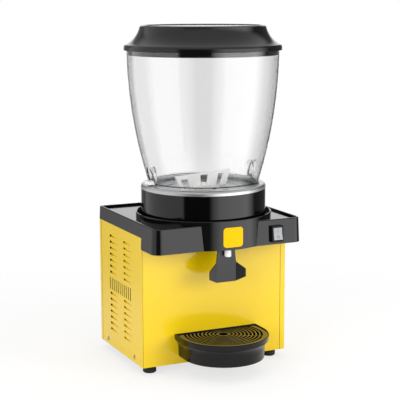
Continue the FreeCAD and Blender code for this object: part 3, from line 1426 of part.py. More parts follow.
def switch():
    """The switch's bezel and body with the pocket, and its rocker."""
    across = "DECK_HALF - switch_inset"
    height = "SKIRT + switch_rise"
    body = new_body("switch_bezel", across, "WING_FACE", height)
    turned_about(body, (1, 0, 0), "-deck_draft")
    face = new_sketch(body, "XZ")
    wide, tall = "bezel_width / 2", "bezel_height / 2"
    add_loop(face, box_loop(f"-{wide}", f"-{tall}", wide, tall))
    pad(body, face, "bezel_proud")
    rear = new_sketch(body, "XZ")
    wide, tall = "switch_body_width / 2", "switch_body_height / 2"
    add_loop(rear, box_loop(f"-{wide}", f"-{tall}", wide, tall))
    pad(body, rear, "switch_body_depth", down=True)
    well = new_sketch(body, "XZ", "bezel_proud")
    wide = "(rocker_width / 2 + rocker_gap)"
    tall = "(rocker_height / 2 + 2 * rocker_gap)"
    add_loop(well, box_loop(f"-{wide}", f"-{tall}", wide, tall))
    pocket(body, well, "rocker_pocket")
    PARTS.append(body)
    ahead = "(bezel_proud - rocker_axis)"
    y = f"WING_FACE - {ahead} * cos(deck_draft)"
    rocker = new_body("switch_rocker", across, y, f"{height} + {ahead} * sin(deck_draft)")
    turned_about(rocker, (1, 0, 0), "-deck_draft - rocker_tilt")
    side = new_sketch(rocker, "YZ", "-rocker_width / 2")
    top = "rocker_height / 2"
    tip = "-rocker_axis - rocker_proud"
    corners = [
        (tip, top),
        ("-rocker_axis - rocker_proud / 2", "0"),
        (tip, f"-{top}"),
        ("rocker_root", f"-rocker_end * {top}"),
        ("2 * rocker_root", "0"),
        ("rocker_root", f"rocker_end * {top}"),
    ]
    add_loop(side, corners)
    pad(rocker, side, "rocker_width")
    PARTS.append(rocker)


def tray_outline(inset, low, cavity):
    """Half outline of the tray, as radius and height, from its foot to its rim."""
    wall = f"tray_radius - {inset}"
    neck = "TRAY_TOP - tray_band - tray_neck_height"
    foot = (f"{wall} - tray_neck - tray_band_inset", low)
    if cavity:
        ledge = f"{wall} - grille_ledge"
        return [
            foot,
            (f"{wall} - tray_neck", neck),
            (ledge, f"{neck} + tray_neck_height / 2"),
            (ledge, "TRAY_TOP - grille_seat"),
            (wall, "TRAY_TOP - grille_seat"),
            (wall, "TRAY_TOP"),
        ]
    return [
        foot,
        (f"{wall} - tray_neck", neck, "-tray_neck_curve"),
        (f"{wall} - tray_band_inset", "TRAY_TOP - tray_band"),
        (wall, "TRAY_TOP - tray_edge"),
        (f"{wall} - tray_edge", "TRAY_TOP"),
    ]


def both_sides(half):
    """A closed outline from the right-hand half of it."""
    other = []
    for index in range(len(half) - 1, -1, -1):
        x, z = half[index][:2]
        bend = half[index - 1][2:] if index else ()
        other.append((f"-({x})", z) + bend)
    return half + other


def drip_tray():
    """The moulded tray: half-round front, hollow neck, grille ledge and two hooks at its back."""
    body = new_body("drip_tray", "0", "FRONT - TRAY_CENTRE")
    for cut in (False, True):
        low = "TRAY_LOW + tray_wall" if cut else "TRAY_LOW"
        outline = tray_outline("tray_wall" if cut else "0", low, cut)
        front = new_sketch(body, "XZ")
        add_loop(front, [("0", low)] + outline + [("0", "TRAY_TOP")])
        turned(body, front, "180", cut=cut, down=True)
        back = new_sketch(body, "XZ")
        add_loop(back, both_sides(outline))
        if cut:
            pocket(body, back, "TRAY_CENTRE - tray_gap - tray_wall")
        else:
            pad(body, back, "TRAY_CENTRE - tray_gap", down=True)
    lip = "TRAY_CENTRE + sheet + hook_clearance"
    neck = "TRAY_CENTRE - tray_gap - tray_wall / 2"
    for start, length, down in ((neck, "hook_neck", False), (lip, "hook_lip", True)):
        hooks = new_sketch(body, "XY", "BASE + hook_low")
        for side in ("-1", "1"):
            left = f"{side} * hook_spread - hook_width / 2"
            right = f"{side} * hook_spread + hook_width / 2"
            add_loop(hooks, box_loop(left, start, right, f"{lip} + hook_sheet"))
        pad(body, hooks, length, down)
    PARTS.append(body)


def drip_grille():
    """The drip grille: a frame and concentric rings that radial ribs carry from below."""
    body = new_body("drip_grille", "0", "FRONT - TRAY_CENTRE", "TRAY_TOP - grille_seat")
    radius = "(tray_radius - tray_wall - grille_gap)"
    back = "TRAY_CENTRE - tray_gap - tray_wall - grille_gap"

    def plan(inset):
        """The grille's outline, straight at the rear and half round at the front."""
        half = f"({radius} - {inset})"
        return [
            (half, f"{back} - {inset}"),
            (f"-{half}", f"{back} - {inset}"),
            (f"-{half}", "0", half),
            ("0", f"-{half}", half),
            (half, "0"),
        ]

    plate = new_sketch(body, "XY")
    add_loop(plate, plan("0"))
    pad(body, plate, "grille_thickness")
    slots = new_sketch(body, "XZ")
    half = "grille_slot / 2"
    for index in range(int(mm("grille_slots"))):
        middle = f"grille_first + {index} * grille_pitch"
        slot = box_loop(f"{middle} - {half}", "0", f"{middle} + {half}", "grille_thickness")
        add_loop(slots, slot)
    turned(body, slots, cut=True)
    rib = new_sketch(body, "XY")
    inner = "(grille_hole + grille_first) / 2"
    half = "grille_rib / 2"
    add_loop(rib, box_loop(inner, f"-{half}", radius, half))
    first = pad(body, rib, "grille_rib_height")
    ring_of(body, [first], "Z", "grille_ribs")
    outside = new_sketch(body, "XY")
    far = f"2 * {radius}"
    add_loop(outside, box_loop(f"-{far}", f"-{far}", far, far))
    add_loop(outside, plan("0"))
    pocket(body, outside, "grille_thickness", down=True)
    frame = new_sketch(body, "XY")
    add_loop(frame, plan("0"))
    add_loop(frame, plan("grille_rim"))
    pad(body, frame, "grille_thickness")
    hole = new_sketch(body, "XY", "grille_thickness")
    add_circle(hole, "0", "0", "grille_hole")
    pocket(body, hole, "grille_thickness")
    PARTS.append(body)


def compressor():
    """The hermetic can on its plate, with grommets and relay box."""
    place = ("CAN_ACROSS", "FRONT + can_depth", "CAN_LOW")
    low = "can_plate_sheet"
    top = "can_plate_sheet + can_height"
    outline = [
        ("0", low),
        ("can_radius - can_dome", low, "can_dome"),
        ("can_radius", f"{low} + can_dome"),
        ("can_radius", f"{top} - can_dome", "can_dome"),
        ("can_radius - can_dome", top),
        ("0", top),
    ]
    PARTS.append(revolved("compressor", outline, place))
    half = "can_plate_width / 2"
    deep = "can_plate_depth / 2"
    plate = box_loop(f"-{half}", f"-{deep}", half, deep)
    PARTS.append(padded("compressor_plate", "XY", [plate], "can_plate_sheet", "0", place))
    left = f"CAN_ACROSS - {half} + grommet_inset"
    near = f"FRONT + can_depth - {deep} + grommet_inset"
    body = new_body("compressor_grommets", left, near, "BASE + sheet")
    plan = new_sketch(body, "XY")
    add_circle(plan, "0", "0", "grommet_radius")
    first = pad(body, plan, "grommet_height")
    across = "can_plate_width - 2 * grommet_inset"
    row_of(body, [first], "X", across, "2", "Y", "can_plate_depth - 2 * grommet_inset", "2")
    PARTS.append(body)
    relay = new_body("relay_box", *place)
    side = new_sketch(relay, "XY", "can_height / 2 - relay_height / 2")
    outer = "-can_radius - relay_depth"
    add_loop(side, box_loop(outer, "-relay_width / 2", "-can_radius / 2", "relay_width / 2"))
    pad(relay, side, "relay_height")
    hollow = new_sketch(relay, "XY")
    add_circle(hollow, "0", "0", "can_radius + running_fit")
    pocket(relay, hollow, "can_height", down=True)
    PARTS.append(relay)


def pipe(label, place, path, plane, centre, turn=None):
    """A round pipe along a path drawn in the body's upright plane."""
    body = new_body(label, *place)
    if turn:
        turned_about(body, (0, 0, 1), turn)
    line = new_sketch(body, "XZ")
    add_loop(line, path, closed=False)
    section = new_sketch(body, plane, path[0][1] if plane == "XY" else path[0][0])
    add_circle(section, *centre, "pipe_radius")
    made = body.newObject("PartDesign::AdditivePipe", "AdditivePipe")
    made.Profile = section
    made.Spine = (line, [])
    body.Tip = made
    PARTS.append(body)


def pipes():
    """Suction pipe from the jacket to the can, and discharge pipe from the can to the condenser."""
    away = "(can_depth - axis_inset - suction_reach)"
    reach = f"sqrt(CAN_ACROSS ^ 2 + {away} ^ 2)"
    low = "BASE + suction_rise"
    path = [
        ("0", "PLATE_UNDER - jacket_height"),
        ("0", f"{low} + pipe_bend", "pipe_bend"),
        ("pipe_bend", low),
        (f"{reach} - can_radius", low),
    ]
    place = ("0", "AXIS + suction_reach", "0")
    pipe("suction_pipe", place, path, "XY", ("0", "0"), f"atan({away} / CAN_ACROSS)")
    low = "BASE + discharge_rise"
    middle = "CONDENSER_LEFT + condenser_thick / 2"
    path = [
        ("CAN_ACROSS - can_radius", low),
        (f"{middle} + pipe_bend", low, "-pipe_bend"),
        (middle, f"{low} + pipe_bend"),
        (middle, "CONDENSER_LOW"),
    ]
    pipe("discharge_pipe", ("0", "FRONT + can_depth", "0"), path, "YZ", ("0", low))


def condenser():
    """The finned condenser and the shroud that stands on the base pan and carries it."""
    block = new_body("condenser_fins", "CONDENSER_LEFT", "FRONT + condenser_start", "CONDENSER_LOW")
    plan = new_sketch(block, "XY")
    add_loop(plan, box_loop("0", "0", "condenser_thick", "condenser_width"))
    pad(block, plan, "condenser_height")
    pitch = "(condenser_width - 2 * fin_margin - fin_slot) / (fin_slots - 1)"
    gap = new_sketch(block, "YZ")
    tall = "condenser_height - fin_margin"
    add_loop(gap, box_loop("fin_margin", "fin_margin", "fin_margin + fin_slot", tall))
    cut = pocket(block, gap, "condenser_thick", down=True)
    row_of(block, [cut], "Y", pitch, "fin_slots")
    PARTS.append(block)
    shroud = new_body("fan_shroud", "CONDENSER_RIGHT", "FRONT + condenser_start")
    face = new_sketch(shroud, "YZ")
    top = "CONDENSER_LOW + condenser_height"
    add_loop(face, box_loop("0", "BASE + sheet", "condenser_width", top))
    pad(shroud, face, "frame_sheet")
    ring = new_sketch(shroud, "YZ")
    add_circle(ring, "condenser_width / 2", "FAN_AXIS_Z", "shroud_radius + frame_sheet")
    pad(shroud, ring, "shroud_depth")
    opening = new_sketch(shroud, "YZ")
    add_circle(opening, "condenser_width / 2", "FAN_AXIS_Z", "shroud_radius")
    hole = "pipe_radius + foam_gap"
    add_circle(opening, "can_depth - condenser_start", "BASE + discharge_rise", hole)
    pocket(shroud, opening, "shroud_depth", down=True)
    PARTS.append(shroud)


def fan():
    """The fan's motor, its three-armed bracket and the bladed rotor."""
    place = ("CONDENSER_RIGHT", "FRONT + FAN_AXIS_Y", "FAN_AXIS_Z")
    motor = new_body("fan_motor", *place)
    face = "2 * fan_gap + fan_width"
    can = new_sketch(motor, "YZ", face)
    add_circle(can, "0", "0", "fan_motor_radius")
    pad(motor, can, "fan_motor_length")
    reach = "fan_gap + fan_width / 3"
    shaft = new_sketch(motor, "YZ", reach)
    add_circle(shaft, "0", "0", "fan_shaft")
    pad(motor, shaft, f"{face} - ({reach})")
    PARTS.append(motor)
    bracket = new_body("fan_bracket", *place)
    post_low = "shroud_radius + 2 * frame_sheet"
    half = "arm_width / 2"
    arm = new_sketch(bracket, "YZ", face)
    add_loop(arm, box_loop(f"-{half}", "fan_motor_radius + frame_sheet", half, f"{post_low} + {half}"))
    first = pad(bracket, arm, "2 * frame_sheet")
    post = new_sketch(bracket, "YZ", "frame_sheet")
    add_loop(post, box_loop(f"-{half}", post_low, half, f"{post_low} + {half}"))
    second = pad(bracket, post, f"{face} + frame_sheet")
    ring_of(bracket, [first, second], "X", "fan_arms")
    hoop = new_sketch(bracket, "YZ", face)
    add_circle(hoop, "0", "0", "fan_motor_radius + 2 * frame_sheet")
    add_circle(hoop, "0", "0", "fan_motor_radius")
    pad(bracket, hoop, "4 * frame_sheet")
    PARTS.append(bracket)
    rotor = new_body("fan_blades", *place)
    hub = new_sketch(rotor, "YZ", "fan_gap")
    add_circle(hub, "0", "0", "fan_hub")
    pad(rotor, hub, "fan_width")
    sections = []
    for radius, lean in (("blade_root * fan_hub", "2 * fan_pitch"), ("fan_radius", "fan_pitch")):
        middle = "fan_gap + fan_width / 2"
        run = "(fan_width / 2 - blade_inset)"
        across = f"{run} / tan({lean})"
        corners = [
            (f"{middle} - {run}", f"-({across})"),
            (f"{middle} + {run}", across),
            (f"{middle} + {run}", f"{across} + fan_blade_sheet"),
            (f"{middle} - {run}", f"fan_blade_sheet - ({across})"),
        ]
        section = new_sketch(rotor, "XY", radius)
        add_loop(section, corners)
        sections.append(section)
    blade = rotor.newObject("PartDesign::AdditiveLoft", "AdditiveLoft")
    blade.Profile = sections[0]
    blade.Sections = [sections[1]]
    blade.Ruled = True
    ring_of(rotor, [blade], "X", "fan_blades")
    bore = new_sketch(rotor, "YZ", "fan_gap + fan_width")
    add_circle(bore, "0", "0", "fan_shaft + running_fit")
    pocket(rotor, bore, "2 * fan_width / 3 + foam_gap")
    PARTS.append(rotor)


def filter_drier():
    """The filter drier lying along the shroud under the fan."""
    low = "FAN_AXIS_Z - shroud_radius - 2 * drier_radius"
    near = "FRONT + FAN_AXIS_Y - drier_length / 2"
    body = new_body("filter_drier", "CONDENSER_RIGHT + frame_sheet + drier_radius", near, low)
    turned_about(body, (1, 0, 0), "-90")
    neck = "drier_radius / 3"
    outline = [
        ("0", "0"),
        (neck, "0"),
        (neck, "drier_radius / 2"),
        ("drier_radius", "drier_radius"),
        ("drier_radius", "drier_length - drier_radius"),
        (neck, "drier_length - drier_radius / 2"),
        (neck, "drier_length"),
        ("0", "drier_length"),
    ]
    sketch = new_sketch(body, "XZ")
    add_loop(sketch, outline)
    turned(body, sketch)
    PARTS.append(body)


def rear_controls():
    """Thermostat with its spindle, terminal block and cord gland, all on the rear panel."""
    inside = "-(body_depth - sheet)"
    place = ("thermostat_offset", "FRONT", "SIDE_TOP - thermostat_drop")
    half = "thermostat_width / 2"
    tall = "thermostat_height / 2"
    box = box_loop(f"-{half}", f"-{tall}", half, tall)
    body = padded("thermostat", "XZ", [box], "thermostat_depth", inside, place)
    bore = new_sketch(body, "XZ", inside)
    add_circle(bore, "0", "0", "spindle_radius + running_fit")
    pocket(body, bore, "spindle_length + spindle_inset - sheet + foam_gap", down=True)
    PARTS.append(body)
    outer = "-(body_depth - spindle_inset)"
    knob = padded("thermostat_spindle", "XZ", [("0", "0", "spindle_radius")], "spindle_length", outer, place)
    slot = new_sketch(knob, "XZ", outer)
    half = "spindle_slot / 2"
    add_loop(slot, box_loop("-spindle_radius", f"-{half}", "spindle_radius", half))
    pocket(knob, slot, "spindle_slot", down=True)
    PARTS.append(knob)
    left = "gland_inset + gland_head + terminal_gap - HALF"
    low = "BASE + gland_rise - terminal_height / 2"
    block = box_loop("0", "0", "terminal_length", "terminal_height")
    place = (left, "FRONT", low)
    PARTS.append(padded("terminal_block", "XZ", [block], "terminal_width", inside, place))
    gland = new_body("cord_gland", "gland_inset - HALF", "REAR", "BASE + gland_rise")
    flange = new_sketch(gland, "XZ")
    add_circle(flange, "0", "0", "gland_head")
    pad(gland, flange, "gland_proud", down=True)
    stem = new_sketch(gland, "XZ")
    add_circle(stem, "0", "0", "gland_radius")
    pad(gland, stem, "gland_depth")
    bore = new_sketch(gland, "XZ", "-gland_proud")
    add_circle(bore, "0", "0", "gland_bore")
    pocket(gland, bore, "gland_proud + gland_depth", down=True)
    PARTS.append(gland)


for build in (
    rubber_feet,
    base_pan,
    side_panels,
    front_panel,
    rear_panel,
    body_screws,
    top_deck,
    collar,
    cold_plate,
    bowl_gasket,
    insulation,
    outlet_tube,
    evaporator,
    mixer_drive,
    mixer_paddle,
    bowl,
    bowl_lugs,
    lid,
    tap_block,
    tap_spout,
    valve_plunger,
    valve_spring,
    lever_pin,
    tap_lever,
    switch,
    drip_tray,
    drip_grille,
    compressor,
    pipes,
    condenser,
    fan,
    filter_drier,
    rear_controls,
):
    build()

doc.recompute()
for thing in doc.Objects:
    if "Invalid" in thing.State or "Error" in thing.State:
        raise ValueError(f"{thing.Label} of kind {thing.TypeId} did not build: {thing.State}")
os.makedirs("parts", exist_ok=True)
for part in PARTS:
    if part.Shape.isNull() or not part.Shape.isValid():
        raise ValueError(f"{part.Label} has no valid shape")
    part.Shape.exportStep(f"parts/{part.Label}.step")
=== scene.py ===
"""Looks of a cold drink dispenser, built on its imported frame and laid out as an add-on."""
import math

import bmesh
import bpy
from mathutils import Matrix, Vector
from mathutils.bvhtree import BVHTree


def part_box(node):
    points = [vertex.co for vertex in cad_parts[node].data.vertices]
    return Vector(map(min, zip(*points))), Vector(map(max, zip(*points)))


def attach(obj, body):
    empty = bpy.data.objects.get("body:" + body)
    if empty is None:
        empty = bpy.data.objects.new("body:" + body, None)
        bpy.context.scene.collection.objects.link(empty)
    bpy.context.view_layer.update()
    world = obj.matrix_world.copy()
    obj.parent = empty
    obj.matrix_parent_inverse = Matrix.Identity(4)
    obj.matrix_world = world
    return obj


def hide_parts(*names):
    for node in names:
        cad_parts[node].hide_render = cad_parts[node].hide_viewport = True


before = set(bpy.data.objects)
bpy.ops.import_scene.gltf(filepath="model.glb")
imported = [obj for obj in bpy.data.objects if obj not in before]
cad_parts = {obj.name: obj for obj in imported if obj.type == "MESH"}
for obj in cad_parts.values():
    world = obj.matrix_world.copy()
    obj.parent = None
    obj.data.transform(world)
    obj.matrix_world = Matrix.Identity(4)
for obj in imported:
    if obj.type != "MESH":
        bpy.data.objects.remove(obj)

bl_info = {
    "name": "Cold Drink Dispenser",
    "version": (1, 0, 0),
    "blender": (4, 5, 0),
    "location": "3D View > Sidebar > Dispenser",
    "description": "Dresses the frame of a cold drink dispenser and sets up a studio round it",
    "category": "Object",
}

MM = 0.001
LID_LOW, LID_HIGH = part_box("lid")
AXIS_Y = (LID_LOW.y + LID_HIGH.y) / 2
DECK_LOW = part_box("top_deck")[0]
GRILLE_LOW, GRILLE_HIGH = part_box("drip_grille")
FRONT_LOW, FRONT_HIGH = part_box("front_panel")
SIDE_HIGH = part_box("right_side_panel")[1]
SCREWS_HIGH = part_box("body_screws")[1]
ROCKER_LOW, ROCKER_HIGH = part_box("switch_rocker")

# The camera that was fitted to the photograph: metres, degrees and millimetres of lens.
CAMERA_PLACE = (-1.0778, -2.2952, 0.7927)
CAMERA_YAW, CAMERA_PITCH, CAMERA_ROLL = 24.973, 9.689, 0.149
CAMERA_LENS = 105.94
# Soft lamps: place and width in metres, and share of the lamp power.
LAMPS = {
    "left_softbox": ((-1.8, -1.3, 0.9), 1.2, 0.95),
    "right_softbox": ((1.4, -1.9, 0.8), 1.2, 1.3),
    "top_softbox": ((0.1, -0.1, 2.3), 1.6, 0.7),
}
LAMPS_AIM = (0, 0, 0.3)
# Bright and dark screens that gloss mirrors: compass angle in degrees from +X, and level.
SCREENS = (
    (-180, 0.9), (-153, 0.9), (-149, 0.02), (-104, 0.02), (-96, 1.0), (-84, 2.0), (-60, 2.3), (-30, 2.3),
    (-8, 0.1), (44, 0.1), (51, 1.3), (79, 1.3), (84, 0.25), (108, 0.25), (118, 0.9), (180, 0.9),
)
# The screen overhead: level, and the share of straight up at which it starts and is full.
OVERHEAD, OVERHEAD_FROM, OVERHEAD_FULL = 0.8, 0.4, 0.6
# The floor, in metres from its middle, and how much of it the camera sees as white.
FLOOR_RADIUS, FLOOR_FADE_FROM, FLOOR_FADE_TO = 1.6, 0.3, 1.2
FLOOR_WHITE = 0.7


def linear(code):
    """An sRGB hex colour as linear red, green and blue."""
    parts = [int(code[i:i + 2], 16) / 255 for i in (1, 3, 5)]
    return tuple(c / 12.92 if c <= 0.04045 else ((c + 0.055) / 1.055) ** 2.4 for c in parts)


def tint(name, description, code):
    """A colour that a user may change."""
    return bpy.props.FloatVectorProperty(
        name=name, description=description, subtype="COLOR", size=3, min=0, max=1, default=linear(code)
    )


def length(name, description, value):
    """A length that a user may change."""
    return bpy.props.FloatProperty(
        name=name, description=description, unit="LENGTH", min=0, precision=4, default=value
    )


def count(name, description, value):
    """A number of like things that a user may change."""
    return bpy.props.IntProperty(name=name, description=description, min=1, default=value)


class DispenserColours(bpy.types.PropertyGroup):
    paint: tint("Paint", "Powder coat of the sheet body", "#E9C505")
    moulding: tint("Mouldings", "Black deck, lid, lever and tray", "#0B0B0C")
    collar: tint("Collar", "Glossy black drum under the bowl", "#050506")
    white: tint("White parts", "Paddle, lugs and spout", "#F6F6F4")
    rocker: tint("Rocker", "Rocker of the switch", "#97989A")
    mark: tint("Rocker marks", "On and off marks of the switch", "#66676A")
    steel: tint("Steel", "Spun stainless plate and ring", "#C9CACC")
    clear: tint("Bowl", "Clear bowl, and how much light one wall lets through", "#F7F7F7")
    plate: tint("Bare plate", "Plain plate on the front bulge", "#F0BA04")


class DispenserSizes(bpy.types.PropertyGroup):
    plate_width: length("Plate width", "Bare plate on the front bulge", 45 * MM)
    plate_height: length("Plate height", "Bare plate on the front bulge", 42 * MM)
    plate_corner: length("Plate corner", "Corner radius of the bare plate", 7 * MM)
    plate_proud: length("Plate thickness", "How far the bare plate stands off the bulge", 1.2 * MM)
    head_radius: length("Screw head", "Radius of a body screw's head", 5 * MM)
    head_proud: length("Screw height", "Height of a body screw's head", 1.6 * MM)
    first_slot: length("First slot", "Radius of the grille's first round slot", 18 * MM)
    slot_pitch: length("Slot spacing", "Spacing of the grille's round slots", 8.1 * MM)
    slot_width: length("Slot width", "Width of one round slot", 4.2 * MM)
    hub_hole: length("Hub hole", "Radius of the hole in the grille's hub", 10 * MM)
    grille_rim: length("Grille rim", "Width of the grille's rim at its straight edge", 3.4 * MM)
    rib_width: length("Rib width", "Width of a rib under the rings", 3 * MM)
    rib_height: length("Rib height", "Height of a rib under the rings", 1.4 * MM)
    slots: count("Slots", "Number of the grille's round slots", 9)
    ribs: count("Ribs", "Number of ribs under the rings", 12)


class StudioSettings(bpy.types.PropertyGroup):
    floor: tint("Floor", "Pale studio floor", "#F4F4F4")
    fill: bpy.props.FloatProperty(
        name="Fill", description="Even light from all round", subtype="FACTOR", min=0, default=0.68
    )
    lamp: bpy.props.FloatProperty(
        name="Lamp power", description="Power of one soft lamp", unit="POWER", min=0, default=22
    )


def add(tree, kind, sockets=None, **settings):
    """Add one node with its settings, and fill its sockets or link them.

    A node given in place of a socket stands for its first output, and a list holds several links.
    """
    made = tree.nodes.new(kind)
    for name, value in settings.items():
        setattr(made, name, value)
    for name, given in (sockets or {}).items():
        for value in given if isinstance(given, list) else [given]:
            if isinstance(value, bpy.types.Node):
                value = value.outputs[0]
            if isinstance(value, bpy.types.NodeSocket):
                tree.links.new(value, made.inputs[name])
            else:
                made.inputs[name].default_value = value
    return made


def blank_finish(name):
    """An empty material, its tree, and the place on the object that its patterns follow."""
    material = bpy.data.materials.new(name)
    material.use_nodes = True
    tree = material.node_tree
    tree.nodes.clear()
    return material, tree, add(tree, "ShaderNodeTexCoord").outputs["Object"]


def shade(colour, share=1.0):
    """A colour made darker or lighter by a share of itself, as four numbers."""
    return tuple(min(1.0, c * share) for c in colour) + (1.0,)


def even_finish(name, colour, roughness, grain, relief, cloud, change, **sockets):
    """A finish of one colour: slow clouds of shade over it, and a fine grain in its gloss and relief.

    grain, relief and cloud are millimetres; change is the share by which the shade changes.
    """
    material, tree, place = blank_finish(name)
    clouds = add(tree, "ShaderNodeTexNoise", {"Vector": place, "Scale": 1 / (cloud * MM), "Detail": 3.0})
    grains = add(tree, "ShaderNodeTexNoise", {"Vector": place, "Scale": 1 / (grain * MM), "Detail": 2.0})
    base = add(
        tree, "ShaderNodeMix",
        {0: clouds.outputs["Fac"], 6: shade(colour, 1 - change), 7: shade(colour, 1 + change)},
        data_type="RGBA",
    )
    gloss = add(
        tree, "ShaderNodeMapRange",
        {"Value": grains.outputs["Fac"], "From Min": 0.3, "From Max": 0.7,
         "To Min": roughness * 0.85, "To Max": roughness * 1.15},
    )
    bump = add(
        tree, "ShaderNodeBump", {"Height": grains.outputs["Fac"], "Strength": 1.0, "Distance": relief * MM}
    )
    shader = add(
        tree, "ShaderNodeBsdfPrincipled",
        {"Base Color": base.outputs[2], "Roughness": gloss, "Normal": bump, **sockets},
    )
    add(tree, "ShaderNodeOutputMaterial", {"Surface": shader})
    return material


def darken(material, where, colour):
    """Give an even finish a second, dark colour in some places, and return its tree and its shader."""
    tree = material.node_tree
    shader = tree.nodes["Principled BSDF"]
    base = add(
        tree, "ShaderNodeMix",
        {0: where, 6: shader.inputs["Base Color"].links[0].from_socket, 7: shade(colour)}, data_type="RGBA",
    )
    tree.links.new(base.outputs[2], shader.inputs["Base Color"])
    return tree, shader


def coated_sheet(colour):
    """Baked powder coat: an even semi-gloss with the faint orange peel of melted powder.

    Inner faces, the walls of the upright slots and the seams get painted shade: a dark colour that mirrors
    little.
    """
    material = even_finish(
        "powder_coated_steel", colour, roughness=0.15, grain=3.5, relief=0.03, cloud=90, change=0.02, IOR=1.55
    )
    tree = material.node_tree
    given = tree.nodes["Texture Coordinate"].outputs
    # A face that looks towards the middle of the body is an inner one.
    middle = (0, (FRONT_LOW.y + SIDE_HIGH.y) / 2, 0)
    outward = add(tree, "ShaderNodeVectorMath", {0: given["Object"], 1: middle}, operation="SUBTRACT")
    outward = add(tree, "ShaderNodeVectorMath", {0: outward, 1: (1, 1, 0)}, operation="MULTIPLY")
    facing = add(tree, "ShaderNodeVectorMath", {0: outward, 1: given["Normal"]}, operation="DOT_PRODUCT")
    painted_shade = add(tree, "ShaderNodeMath", {0: facing.outputs["Value"], 1: -10 * MM}, operation="LESS_THAN")
    # Painted shade also fills boxes round the upright slots and along the front and rear seams.
    far = 1.0
    coat, gap, lap = 0.15 * MM, 0.8 * MM, 5 * MM
    slots_top, slots_foot = SIDE_HIGH.z - 121.5 * MM, SIDE_HIGH.z - 151 * MM
    front_seam, rear_seam = FRONT_HIGH.x + gap / 2, SIDE_HIGH.y + gap / 2
    front_half, rear_half = 0.56 * gap, 0.7 * gap
    for low, high in (
        ((coat - SIDE_HIGH.x, FRONT_LOW.y + lap, slots_foot), (SIDE_HIGH.x - coat, SIDE_HIGH.y, slots_top)),
        ((front_seam - front_half, -far, -far), (front_seam + front_half, FRONT_LOW.y + lap, far)),
        ((-far, rear_seam - rear_half, -far), (far, rear_seam + rear_half, far)),
    ):
        centre, half = (Vector(low) + Vector(high)) / 2, (Vector(high) - Vector(low)) / 2
        past = add(tree, "ShaderNodeVectorMath", {0: given["Object"], 1: centre}, operation="SUBTRACT")
        past = add(tree, "ShaderNodeVectorMath", {0: past}, operation="ABSOLUTE")
        past = add(tree, "ShaderNodeVectorMath", {0: past, 1: half}, operation="SUBTRACT")
        past = add(tree, "ShaderNodeSeparateXYZ", {0: past}).outputs
        most = add(tree, "ShaderNodeMath", {0: past["X"], 1: past["Y"]}, operation="MAXIMUM")
        most = add(tree, "ShaderNodeMath", {0: most, 1: past["Z"]}, operation="MAXIMUM")
        within = add(tree, "ShaderNodeMath", {0: most, 1: 0.0}, operation="LESS_THAN")
        painted_shade = add(tree, "ShaderNodeMath", {0: painted_shade, 1: within}, operation="MAXIMUM")
    # Painted shade: these faces get a dark olive grey in place of the yellow coat.
    tree, shader = darken(material, painted_shade, linear("#15150F"))
    # Where shade is painted, the surface also mirrors far less than the coat.
    mirror = add(tree, "ShaderNodeMapRange", {"Value": painted_shade, "To Min": 0.5, "To Max": 0.05})
    tree.links.new(mirror.outputs[0], shader.inputs["Specular IOR Level"])
    return material


def spun_steel(colour):
    """Spun stainless steel: bright, with fine rings round the axis that fan its highlights out."""
    material, tree, place = blank_finish("spun_stainless_steel")
    centred = add(tree, "ShaderNodeMapping", {"Vector": place, "Location": (0, -AXIS_Y, 0)})
    # Turning marks are about 0.2 mm apart; here they are 2 mm, so that they show.
    rings = add(
        tree, "ShaderNodeTexWave",
        {"Vector": centred, "Scale": 0.5 / (2 * MM) / math.pi, "Distortion": 1.5, "Detail": 2.0},
        wave_type="RINGS", rings_direction="Z",
    ).outputs["Fac"]
    base = add(
        tree, "ShaderNodeMix", {0: rings, 6: shade(colour, 0.86), 7: shade(colour, 1.04)}, data_type="RGBA"
    )
    gloss = add(tree, "ShaderNodeMapRange", {"Value": rings, "To Min": 0.24, "To Max": 0.34})
    bump = add(tree, "ShaderNodeBump", {"Height": rings, "Strength": 0.6, "Distance": 0.02 * MM})
    round_axis = add(tree, "ShaderNodeTangent", direction_type="RADIAL", axis="Z")
    shader = add(
        tree, "ShaderNodeBsdfPrincipled",
        {"Base Color": base.outputs[2], "Metallic": 1.0, "Roughness": gloss, "Anisotropic": 0.7,
         "Normal": bump, "Tangent": round_axis},
    )
    add(tree, "ShaderNodeOutputMaterial", {"Surface": shader})
    return material


def zinc_plate(colour):
    """Zinc plated sheet: dull silver with crystals of about 8 mm, each a little lighter or darker."""
    material, tree, place = blank_finish("zinc_plated_steel")
    crystals = add(tree, "ShaderNodeTexVoronoi", {"Vector": place, "Scale": 1 / (8 * MM)}, feature="F1")
    level = add(tree, "ShaderNodeSeparateColor", {0: crystals.outputs["Color"]}).outputs
    base = add(
        tree, "ShaderNodeMix", {0: level[0], 6: shade(colour, 0.82), 7: shade(colour, 1.06)}, data_type="RGBA"
    )
    gloss = add(tree, "ShaderNodeMapRange", {"Value": level[1], "To Min": 0.34, "To Max": 0.5})
    bump = add(
        tree, "ShaderNodeBump",
        {"Height": crystals.outputs["Distance"], "Strength": 0.3, "Distance": 0.02 * MM},
    )
    shader = add(
        tree, "ShaderNodeBsdfPrincipled",
        {"Base Color": base.outputs[2], "Metallic": 1.0, "Roughness": gloss, "Normal": bump},
    )
    add(tree, "ShaderNodeOutputMaterial", {"Surface": shader})
    return material


